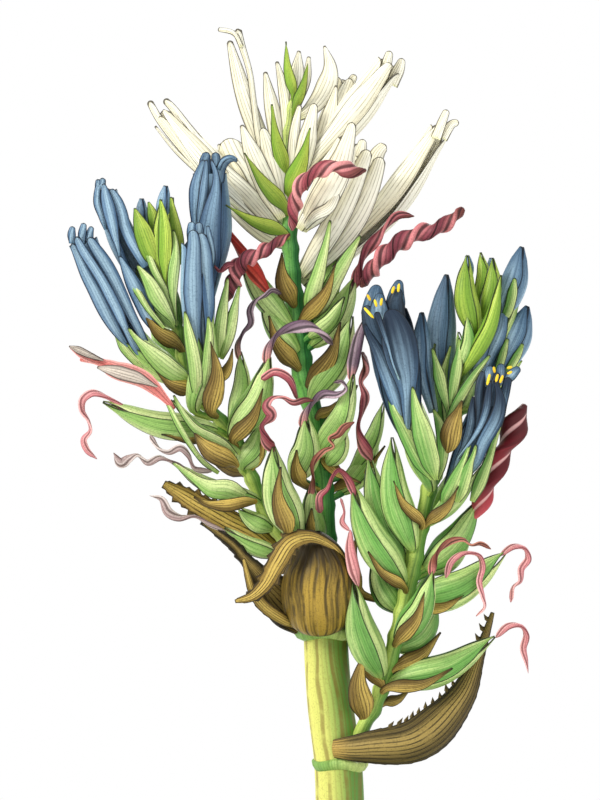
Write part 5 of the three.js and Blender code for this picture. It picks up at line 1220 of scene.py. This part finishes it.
# Sheets of painted shadow inside the open blooms' mouths, where their petals part: places x, y, z, half
# width.
THROAT_SHADOWS = [
    [[15, -17.6, 121, 0.5], [12.4, -18.6, 127, 2.3], [10, -18.6, 132, 2.9], [8.4, -18.2, 137, 2.7],
     [7.5, -17.8, 139.2, 1.7]],
    [[16.2, -17, 133, 2.6], [16.4, -18.2, 139.2, 3], [16.7, -18.4, 142, 2.4], [17.8, -18.4, 144.2, 1.3]],
    [[40.2, -15, 101.6, 0.2], [40.6, -16, 104.4, 0.6], [41.1, -16.4, 108.6, 1.1], [41.1, -16.4, 113.1, 1.3],
     [41.5, -16.2, 117, 1.2], [42.4, -15.8, 120, 0.8]],
    [[44.6, -16, 110, 1.6], [45.6, -16.6, 115, 1.8], [46.2, -16.6, 118, 1.4], [46.6, -16.4, 119.6, 0.7]],
    [[46.2, -9.4, 134.6, 0.4], [46.8, -9.8, 137.1, 1.05], [47.4, -9.6, 139.2, 0.95], [47.7, -9, 140.6, 0.45]],
]
ANTHERS = [
    [7.2, -21, 138.6, 9.9, -21.6, 135.6], [8.1, -19.6, 142.5, 9, -19.8, 140.8],
    [10.2, -21, 141, 10.8, -21, 138.9], [12.3, -21, 141.4, 12, -21, 139.2],
    [15.9, -19.6, 144.9, 15.3, -19.6, 142.9], [17.4, -19.6, 145.7, 17.1, -19.6, 143.3],
    [43.3, -19.4, 116.1, 44.1, -19.4, 119.3], [45.6, -18, 119.7, 45.3, -18, 121.4],
    [45.9, -19, 117, 46.5, -19, 119.2], [47.1, -19, 116.7, 48, -19, 118.9],
    [49.4, -17, 121, 50.8, -17, 121.4], [49.4, -17, 119.3, 50.8, -17, 120],
]
for name, (row, form, finish, ways) in OPEN_BLUE.items():
    petals = Tissue()
    corolla(petals, row, **form)
    straps(petals, ways)
    settle(petals.piece(petal_thickness), name + "_petals", finish, "petal_blue", name)
for name, row in BLUE_BUDS.items():
    petals = Tissue()
    corolla(petals, row, opened=False)
    settle(petals.piece(petal_thickness), name + "_petals", mid_blue, "petal_blue", name)

bud_tips, lips, throat_shadows, anthers = Tissue(), Tissue(), Tissue(), Tissue()
for row in ([-57, -7, 160, -58.8, -7, 171.6, 1.5], [-51.4, -7, 160, -51.6, -7, 175.4, 1.8],
            [38.2, -7, 146, 38.2, -7, 154.6, 1.1], [45, -6, 146, 45.4, -6, 154, 1.1]):
    corolla(bud_tips, row, opened=False)
straps(lips, PETAL_LIPS)
straps(throat_shadows, THROAT_SHADOWS)
for row in ANTHERS:
    anther(anthers, *np.array(in_panicle([row[:3], row[3:]])))
settle(bud_tips.piece(petal_thickness), "blue_bud_tips", light_blue, "petal_blue")
settle(lips.piece(petal_thickness), "blue_petal_lips", mid_blue, "petal_blue")
settle(throat_shadows.piece(petal_thickness), "blue_petal_throat_shadows", throat_shadow_blue, "petal_blue")
pollen = speckled("yellow pollen", "#e8b800", "#ffe63a", 0.6)
settle(anthers.piece(), "yellow_anthers", pollen, "petal_blue")

# ---------------------------------------------------------------------------------------------
# Ivory corollas: the young flowers at the top, cream with fine grey-beige veins. Some are whole,
# others show single petals that stand apart.
# Each petal is paler on one side and deeper on the other: painted shade.
ivory_finish = tissue_finish("ivory petal", "#fffdec", "#f5efd2", "#857a58", "#3a3220", veins=6,
                             strength=0.55, foot="#e9e9b6", foot_to=0.12, patchy=0.35, spread=0.03,
                             stipple=0.05, shade="one side", hatch=0.3)
closed = {"opened": False}
IVORY_BLOOMS = {  # name: corollas in round brackets, each with its form, and straps
    "top_bloom_1": [[[-17, -1, 166.6, 1.4], [-18.4, -2, 176, 3], [-20.8, -3, 186, 3], [-23, -3, 193, 1]],
        [[-17.2, -1.4, 166, 1.4], [-22.4, -3, 177, 3.2], [-26.2, -4, 186, 2.8], [-29.2, -4, 193.8, 0.5]]],
    "top_bloom_2": [([-16.5, 3, 163, -36, 7, 189, 4], closed),
        [[-17, 3, 164, 2], [-24, 4, 174, 4], [-31, 5, 184, 4.4], [-34, 6, 190, 4]],
        [[-14, 2, 158, 1.8], [-22, 3, 162, 3.2], [-30, 3, 169, 3], [-36, 3, 177, 2]]],
    "top_bloom_3": [([-15.5, 1.5, 159.5, -54, 5, 200, 4], {"bow": 0.02, "mouth": 0.3}),
        [[-18, 0, 162.4, 1.4], [-27.6, 0.6, 173.4, 2.6], [-37.2, 2, 182.4, 2.7], [-45, 3, 192.6, 2.3],
         [-50, 4, 199.5, 1.5], [-52.6, 4.4, 202.2, 0.9]],
        [[-20, 2, 163, 1], [-30, 2, 171.4, 1.6], [-41.4, 3, 181, 1.5], [-49.6, 4, 190.2, 1.1],
         [-54.6, 4.6, 197, 1.1], [-57.2, 5, 201.8, 0.9]],
        [[-30, 2, 169.4, 0.9], [-42, 3, 180, 0.8], [-49.2, 4, 186.8, 0.6], [-55.4, 5, 194.2, 0.2]]],
    "top_bloom_4": [[[-17, 4, 177, 1.6], [-23.5, 5, 190, 2.6], [-28.4, 5, 203, 2.8], [-31.2, 5, 213, 2.2],
        [-33, 5, 220, 0.8]],
        [[-17, 3, 177, 1.4], [-23.6, 3.6, 189.6, 1.5], [-25.4, 4, 199.8, 1.1], [-26.9, 4, 210.6, 0.9],
         [-29.4, 4, 219, 0.8], [-30.6, 3, 223.4, 1.1]],
        [[-29.4, 3.6, 218, 0.6], [-31.6, 3, 222, 0.7], [-36.4, 3, 223.2, 0.5]],
        [[-15, 2.6, 179, 1.5], [-18.4, 3, 191, 2.6], [-20.6, 3, 202, 2.2], [-22.2, 3, 210.4, 0.5]],
        [[-14.4, 1, 182, 1.4], [-15.4, 1, 196, 2], [-16.6, 2, 205, 1.8], [-18.7, 2, 213.4, 0.4]]],
    "top_bloom_5": [[[-13.8, 1, 195, 1], [-13.2, 0, 202, 1.8], [-12.6, 0, 209, 2.1], [-12, 0, 216.4, 0.4]],
        [[-12.6, 3, 200, 1], [-9.8, 3, 208, 1.4], [-9, 3, 215, 0.4]],
        [[-12, 0, 196.5, 1.2], [-8.4, 0, 199, 2.5], [-4.4, 1, 204.4, 3.1], [-2.6, 1, 211, 1.9],
         [-4.4, 1, 218, 0.2]]],
    "top_bloom_6": [([-13.4, -1, 177, 16, -2, 213.6, 4.9], {"mouth": 0.6, "bow": 0.02}),
        [[13, -3, 208, 1.8], [14.6, -3, 213.6, 1.6], [15.2, -3, 216, 1]],
        [[15.6, -1, 206, 2], [18, -1, 211, 1.9], [19, -1, 214, 1]]],
    "top_bloom_7": [([-13, 3, 176, 3.6, 6, 209, 4.6], {"mouth": 0.75}),
        [[2, 4, 204, 1.6], [4, 4, 208, 1.4], [5, 4, 209.6, 0.9]]],
    "top_bloom_8": [[[-11, -1, 175, 1.6], [-6, -2, 186, 2.5], [-3, -2, 196, 2.4], [-0.8, -2, 205.8, 0.3]],
        [[-13.8, -2, 178, 1.2], [-13.4, -4, 190, 1.9], [-12.6, -4, 196, 1.5], [-11.7, -4, 199.8, 0.5]],
        [[-12.6, -2, 178, 1.4], [-10.2, -4, 186, 2.8], [-8.8, -4.5, 193, 2.9], [-7.8, -4.5, 198, 2],
         [-7.4, -4.5, 200.2, 1]]],
    "top_bloom_9": [([-11.4, -4, 163, 2.8, -12.4, 190, 4.8], {"mouth": 0.3}),
        [[-10.5, -4, 163, 1.4], [-5.4, -11, 170, 3.4], [-1, -14, 178, 4.2], [1.8, -15, 186, 3.9],
         [3.2, -15, 191, 2.6], [3.8, -15, 193.6, 1.2]],
        [[-10.4, -5, 163, 0.8], [-7, -11, 166.4, 1.3], [-3, -12.6, 168.6, 1.7], [-0.6, -13, 173, 1.2]]],
    "top_bloom_10": [([-11.6, 2, 149, 9, -3, 185, 4.8], {"mouth": 0.5}),
        [[-11.4, 0, 149, 1.4], [-4, -4, 160, 3.2], [2, -7, 171, 3.5], [6, -8, 180, 3], [8.6, -8, 186, 1.7]],
        [[-10.6, 1, 148.6, 1.4], [-1, -2, 158, 3], [6, -5, 168, 3.6], [10.4, -6, 178, 3.1],
         [12.4, -6, 184, 1.8]],
        [[4.6, -2, 180, 2], [6.4, -3, 186, 2], [7.2, -3, 189.6, 1.1]],
        [[9, -2, 180, 2.2], [12, -2.6, 186, 2.3], [14, -3, 188, 1.5]]],
    "top_bloom_11": [([-10.6, 3, 146, 31.6, 2, 195, 4.6],
        {"mouth": 0.42, "bow": 0.06, "petals": [(-30, 40, 0.97, (0.08, 0.03), 0)]}),
        [[29, -0.6, 190, 1.6], [31.2, -1, 195.6, 1.4], [32.4, -1, 198.6, 0.9]],
        [[31, 0, 190, 1.5], [34, 0, 194.4, 1.4], [36, 0, 194.8, 0.9]]],
}
for name, shapes in IVORY_BLOOMS.items():
    petals = Tissue()
    for shape in shapes:
        if isinstance(shape, tuple):
            corolla(petals, shape[0], **shape[1])
        else:
            straps(petals, [shape])
    settle(petals.piece(petal_thickness), name + "_petals", ivory_finish, "petal_ivory", name)

# ---------------------------------------------------------------------------------------------
# Spent corollas: after flowering the three petals wither, redden and twist together like a rope, and
# hang on in the calyx. Some are wide rolled ribbons; one has dried flat, with its pale inside showing.
rope_strands, rope_widening, rope_depth = 3, 1.12, 0.45
wide_rope_turns, wide_rope_depth, opened_cup = 1.7, 0.62, 0.25


def rope(tissue, wound, places, strands=rope_strands):
    """Withered strands wound round each other through places x, y, z, half width."""
    course, width = strap_form(places, rope_widening)
    stations = np.linspace(0, 1, 110)
    half = smooth(width, stations) * np.minimum(1, 0.5 + 12 * np.minimum(stations, 1 - stations))
    way = course.at(stations)
    middle, along = way[:2]
    wide = places[1][3] > 2 or places[2][3] > 2.1
    turns = wound * (wide_rope_turns if wide and strands == rope_strands else 1)
    turn = (0.4 - turns * 2 * math.pi * stations)[:, None]
    around = spokes(24)
    strand = 0.8 + 0.2 * np.abs(np.cos(around * strands / 2)) ** 0.7
    a = half[:, None] * np.cos(around) * strand
    b = half[:, None] * (wide_rope_depth if wide else rope_depth) * np.sin(around) * strand
    rings = beside(way, a * np.cos(turn) - b * np.sin(turn), a * np.sin(turn) + b * np.cos(turn))
    tissue.tube(rings, middle[0] - along[0] * 0.3 * MM, middle[-1] + along[-1] * 0.3 * MM, luck.random())


def withered(name, pale, deep, vein, **form):
    form = {"veins": rope_strands, "strands": 0.35, "strength": 0.9, "hatch": 0.6} | form
    return tissue_finish(name, pale, deep, vein, roughness=0.55, patchy=0.6, spread=0.1, shade="stem",
                         depth=0.0002, **form)


rose = withered("rose spent petal", "#dd9392", "#96434d", "#451c20", tip="#6a3a33", tip_from=0.75)
maroon = withered("maroon spent petal", "#cf7d80", "#7a3340", "#35161a", tip="#6a342c", tip_from=0.75)
mauve = withered("mauve spent petal", "#b39ba6", "#6a5263", "#2d2128", tip="#4a3a36", foot="#dd9a92",
                 foot_to=0.3)
russet = withered("russet spent petal", "#bb7a66", "#7d4236", "#3a1a14", foot="#d98a84")
pink = withered("pink spent petal", "#f0b5b2", "#d3878a", "#7d4044")
scarlet = withered("scarlet spent petal", "#e5604c", "#b93427", "#761d17")
dark_red = withered("dark red spent petal", "#a52836", "#701722", "#e9b3b0", foot="#d8646a", foot_to=0.4,
                    tip="#561319", tip_from=0.3, tip_to=0.85, veins=2, strands=0.88, stipple=0.0, hatch=0.0)
ash = withered("ash pink spent petal", "#d5c6c0", "#a88f8c", "#5f4a46")
outside_spent = withered("outside of opened petal", "#eaa49c", "#d4766e", "#8a3c3a", strands=0.6,
                         strength=0.5, foot="#f08f88", foot_to=0.5)
inside_spent = tissue_finish("inside of opened petal", "#c9beb0", "#a2968c", "#5c5048", "#43302a", veins=5,
                             strength=0.7)
SPENT = {  # name: finish, ribbons, each with its number of turns and its places
    "left_spent_1": (maroon,
        (1.7,
         [[-33, -8, 141, 0.5], [-31.4, -9.6, 147, 2.6], [-29, -11, 152.4, 2.7], [-24, -12, 154.8, 2.4],
          [-19.2, -12.6, 157.8, 1.9], [-14.8, -13, 160.6, 1]]),
        (0.4,
         [[-30, -10.5, 151, 1.4], [-33, -11.5, 151.6, 1.1], [-35.4, -12, 149.8, 1.1],
          [-37.4, -12.5, 151.6, 0.5]])),
    "left_spent_2": (scarlet,
        (0.2, [[-21, -6, 143.4, 0.8], [-24, -6, 148, 2.3], [-28.5, -5, 155, 1.8], [-34.5, -3, 163.8, 1.1]])),
    "left_spent_3": (mauve,
        (1.1,
         [[-29.8, -6, 123.4, 0.7], [-30.2, -7, 128, 1], [-28.6, -7.6, 131.6, 1.1], [-26.4, -8, 134.4, 1],
          [-26.6, -8, 138.2, 1], [-25, -8, 141, 1.1], [-22, -8, 142.8, 1.1], [-20, -8, 144.2, 0.8],
          [-17.4, -8, 143.2, 0.7]])),
    "left_spent_4": (mauve,
        (1,
         [[-22, -12.6, 122.6, 1], [-20.8, -14, 127.2, 1.4], [-18.2, -15, 131, 1.4], [-14.2, -15.5, 133, 1.6],
          [-9, -16, 133.2, 2], [-5.2, -16, 131.2, 1.8], [-2.2, -16, 128, 0.8]])),
    "left_spent_5": (pink,
        (1.2,
         [[-60, -10, 105.8, 0.5], [-65, -10, 109.8, 1], [-69.4, -10, 112.6, 1.2], [-73.4, -10, 113.6, 1.2],
          [-76.2, -9.6, 111.6, 1.2], [-76.4, -9, 108.4, 1.1], [-74.6, -9, 105.4, 1], [-74, -9, 102.4, 1],
          [-76, -9, 99.8, 1], [-75, -9, 96.6, 0.9], [-72.2, -9, 94.2, 0.5]])),
    "left_spent_7": (ash,
        (1.3,
         [[-45.4, -11.4, 90.8, 0.6], [-49.2, -12, 93, 0.9], [-53.2, -12, 94.4, 1], [-56.8, -12, 93, 1],
          [-59.8, -12, 95.2, 1], [-62.4, -12, 94.2, 1.2], [-64.8, -12, 93, 1.5], [-66.8, -12, 95.8, 0.9]])),
    "left_spent_8": (ash,
        (1,
         [[-38, -12.6, 90.4, 0.5], [-43, -15, 91.6, 1], [-44.6, -16, 95.2, 1.1], [-47, -17, 97.4, 1],
          [-50.4, -17, 96.2, 1], [-53.4, -17, 97.4, 1], [-55.8, -16, 101, 0.8]])),
    "left_spent_9": (ash,
        (0.8,
         [[-34, -9, 72.6, 0.4], [-38.4, -10, 74.6, 0.7], [-43, -10, 77, 0.9], [-47.6, -10, 76.6, 1.2],
          [-50.8, -10, 78.2, 1.4], [-52.8, -10, 82.2, 1.2], [-56.2, -10, 83.2, 0.4]])),
    "left_spent_10": (rose,
        (1.2,
         [[-19.4, -15, 96.4, 0.7], [-21.8, -18, 100.2, 1.8], [-22.8, -18.5, 104, 2], [-20.2, -18.5, 107, 1.1],
          [-21.6, -18.5, 109.8, 1.6], [-20, -18.5, 112, 1.3], [-16.8, -18.5, 112.4, 1],
          [-13.6, -18.5, 110.8, 1], [-10, -18, 111.6, 0.9], [-7.8, -18, 111.4, 0.6]]),
        (0.3,
         [[-23, -15, 117.8, 1], [-19, -16.5, 119.8, 1.2], [-15, -17.5, 117.8, 1.4], [-12.6, -18, 112, 1.1]])),
    "centre_spent_1": (mauve,
        (1,
         [[-11.4, -9, 103.6, 0.9], [-10, -10.6, 107.6, 1.3], [-7.6, -12, 111.2, 1.4], [-4.8, -13, 113.4, 1.4],
          [-0.6, -13.8, 113.2, 1.2], [2, -14, 114.8, 1.1], [0.6, -15, 117, 0.9], [-1.6, -15, 116.8, 0.5]])),
    "centre_spent_2": (mauve,
        (0.2,
         [[3.2, -12, 117.4, 0.8], [4.4, -9.6, 123.6, 1.8], [5.8, -8.4, 130, 1.7], [7.6, -8, 135.4, 0.8]])),
    "centre_spent_3": (rose,
        (0.9,
         [[9.8, -6, 93.4, 0.7], [7.2, -8, 98.2, 2], [5.6, -8, 103, 1.6], [6.8, -7.8, 108.8, 1],
          [7.6, -7.6, 113, 1.4], [6.4, -7.4, 117, 0.7], [8, -7.4, 121, 2.1], [7, -7, 125.8, 1.2]])),
    "centre_spent_4": (maroon,
        (1.2,
         [[4.6, -2.4, 145, 1.2], [6, -4, 151, 1.8], [8, -4.6, 156, 1.6], [11.4, -5, 160, 1.8],
          [14.4, -5.4, 164, 1.6], [17.6, -5.8, 166.6, 1.3], [22.2, -6, 166.4, 0.6]])),
    "centre_spent_5": (maroon,
        (1.8,
         [[6.6, -3.4, 145.4, 1], [11.4, -8.6, 152.4, 2.5], [16.8, -9.6, 157.6, 2.8], [22.8, -10, 160.8, 2.9],
          [28.8, -10, 162.4, 2.7], [34, -10, 165.8, 2.3], [36.8, -10, 168.4, 1.6]])),
    "centre_spent_6": (rose,
        (0.6,
         [[4.6, -12, 83, 0.7], [2.4, -13.6, 88.4, 1.2], [-0.2, -14.4, 90.8, 1.1], [-2.2, -15, 88.8, 1.1],
          [-3.6, -15.4, 85.4, 1], [-5.8, -16, 83.2, 1.1], [-5.8, -16, 78.4, 1.2]])),
    "centre_spent_7": (russet,
        (1.2,
         [[-8.6, -6.4, 82, 0.7], [-7.8, -9, 87.4, 1], [-7.8, -12, 93, 0.9], [-4.6, -14, 96.6, 0.9],
          [-1.8, -14, 97.8, 0.9], [-3, -14, 100.2, 0.9], [-0.4, -14, 101.4, 1], [1.4, -14, 103.4, 1.1],
          [4.2, -14, 105, 0.7]])),
    "centre_spent_8": (rose,
        (1.4,
         [[-14, -10, 162, 0.8], [-13.4, -13, 168, 2.2], [-12, -16, 174, 2.3], [-8, -18.6, 178, 2.2],
          [-2, -20, 180.2, 2.4], [3.6, -20.4, 178.8, 2.5], [7.6, -20, 179, 1.4]])),
    "right_spent_1": (pink,
        (0.2, [[5.6, -10.8, 56.4, 0.5], [4.2, -12.4, 62, 1.8], [3.2, -13, 67.6, 1.6], [3.2, -13, 73, 0.6]]),
        (0.5, [[2.8, -13, 73, 0.5], [0.8, -13, 75.4, 0.9], [1.4, -13, 78.6, 0.7], [0.4, -13, 82.4, 0.4]])),
    "right_spent_2": (pink,
        (0.8,
         [[46.8, -5, 40.8, 0.6], [50.6, -6, 44.2, 1.1], [54.2, -6, 44.2, 1.2], [55.8, -5.6, 41.4, 1.2],
          [55, -5, 37.4, 1], [55.8, -5, 33.6, 0.8], [56.4, -5, 30.2, 0.4]])),
    "right_spent_3": (russet,
        (1.1,
         [[27, -13.4, 59.6, 0.8], [28.6, -15, 66, 1.4], [32.4, -15.4, 69.8, 1.2], [36.4, -15, 70.4, 1],
          [38.8, -15, 68.8, 0.8], [41.6, -14.6, 69.2, 0.8], [44.6, -14, 67.6, 0.4]])),
    "right_spent_4": (pink,
        (1,
         [[48.2, -4, 65.2, 0.6], [52, -5, 67.8, 1], [55.2, -5, 67.4, 1.2], [56.4, -5, 64.2, 1.2],
          [54.4, -5, 61.2, 1], [54, -5, 57.6, 1], [52, -5, 55.8, 1], [51.2, -5, 51.4, 0.5]])),
    "right_spent_5": (pink,
        (0.9,
         [[31.6, -11, 59, 0.7], [33.2, -11.6, 63.6, 1], [37, -11, 66.2, 1.1], [41.4, -10, 65.4, 1.1],
          [42.6, -9, 62, 1], [41.6, -9, 57.6, 0.9], [42.6, -9, 53.2, 0.9], [43.2, -8.4, 50, 0.9],
          [40.8, -8, 47.4, 0.5]])),
    "right_spent_6": (dark_red,
        (-1.75,
         [[36.6, -5, 72, 0.5], [41.1, -6, 78.6, 1.8], [44.2, -7, 86, 3.2], [47.6, -7.6, 94, 3.2],
          [50.6, -8, 100, 3.6], [52.9, -8, 105.4, 3.8], [55.2, -8, 110.2, 2.2]], 2)),
}
for name, (finish, *ribbons) in SPENT.items():
    petals = Tissue()
    for ribbon in ribbons:
        rope(petals, *ribbon)
    settle(petals.piece(), name + "_petals", finish, "spent_petal", name)

OPENED_OUTSIDES = [[[-48.8, -14, 109.2, 0.5], [-50.5, -15, 110.8, 1.1], [-53.4, -16, 113.9, 2],
    [-57.5, -17, 117.5, 2.6], [-61.7, -17.4, 119.3, 2.8], [-65.9, -17.4, 120.4, 2.3],
    [-70.9, -17, 122.7, 0.8], [-76.6, -16.6, 123.6, 0.5]],
    [[-67, -17, 122.4, 0.4], [-72, -17, 123.4, 1.1], [-76, -17, 125.4, 1.4], [-79.4, -16.8, 127.2, 0.3]]]
OPENED_INSIDES = [[[-53.7, -18.4, 115.5, 0.1], [-56.3, -19, 116.7, 1.1], [-59.6, -19.6, 118.2, 1.9],
    [-63.3, -19.8, 119.3, 2], [-67.2, -19.4, 120.4, 1.4], [-71.3, -18.6, 121.2, 0.2]],
    [[-69.6, -18, 123.3, 0.1], [-73.6, -18.6, 124.8, 0.9], [-76.5, -18.6, 126.2, 1.1],
     [-79.6, -18, 127.4, 0.1]]]
outside, inside = Tissue(), Tissue()
straps(outside, OPENED_OUTSIDES, opened_cup)
straps(inside, OPENED_INSIDES, opened_cup)
settle(outside.piece(petal_thickness), "left_spent_6_outsides", outside_spent, "spent_petal", "left_spent_6")
settle(inside.piece(petal_thickness), "left_spent_6_insides", inside_spent, "spent_petal", "left_spent_6")

# ---------------------------------------------------------------------------------------------
# Studio: a plain pale floor, soft light from the upper left, and a long lens level with the panicle,
# which shows the part of the plant above the middle of the scape.
floor_radius, view_height = 1.1, 0.240
panicle_middle = (-0.0117, 0.0, 0.3416)
surroundings, paper_white = 0.86, 1.0
bpy.ops.object.select_all(action="DESELECT")
bpy.ops.mesh.primitive_circle_add(vertices=96, radius=floor_radius, fill_type="NGON")
floor = bpy.context.object
floor.name = "studio_floor"
floor_finish, paper, paper_shader, place = new_finish("pale floor", 0.9)
pale = tint(paper, stretch(paper, grains(paper, place, 3), 0.3, 0.7), rgb("#f4f3f0"), rgb("#faf9f7"))
paper.links.new(pale, paper_shader.inputs["Base Color"])
floor.data.materials.append(floor_finish)


def soft_light(name, place, size, watts, colour=(1, 1, 1)):
    """A round lamp that is aimed at the panicle."""
    light = bpy.data.lights.new(name, "AREA")
    light.shape, light.size, light.energy, light.color = "DISK", size, watts, colour
    lamp = bpy.data.objects.new(name, light)
    bpy.context.collection.objects.link(lamp)
    lamp.location = place
    lamp.rotation_euler = (Vector(panicle_middle) - Vector(place)).to_track_quat("-Z", "Y").to_euler()


soft_light("key", (-1.3, -1.1, 1.3), 0.7, 30, (1, 0.985, 0.95))
soft_light("fill", (1.3, -1.3, 0.6), 1.4, 5, (0.96, 0.98, 1))
soft_light("back", (0.5, 1.5, 1.3), 1.2, 16)
world = bpy.data.worlds.new("studio")
world.use_nodes = True
sky = world.node_tree
dim = sky.nodes["Background"]
dim.inputs["Color"].default_value = (1, 1, 1, 1)
dim.inputs["Strength"].default_value = surroundings
seen = node(sky, "ShaderNodeBackground", {"Color": (1, 1, 1, 1), "Strength": paper_white})
straight = node(sky, "ShaderNodeLightPath").outputs["Is Camera Ray"]
mixed = node(sky, "ShaderNodeMixShader", {0: straight, 1: dim.outputs[0], 2: seen.outputs[0]})
sky.links.new(mixed.outputs[0], sky.nodes["World Output"].inputs["Surface"])
bpy.context.scene.world = world
bpy.context.scene.view_settings.view_transform = "Standard"

lens = bpy.data.cameras.new("camera")
lens.type, lens.lens, lens.sensor_width = "PERSP", 200, 36
camera = bpy.data.objects.new("camera", lens)
bpy.context.collection.objects.link(camera)
camera.location = (panicle_middle[0], -view_height * lens.lens / lens.sensor_width, panicle_middle[2])
camera.rotation_euler = (math.pi / 2, 0, 0)
bpy.context.scene.camera = camera
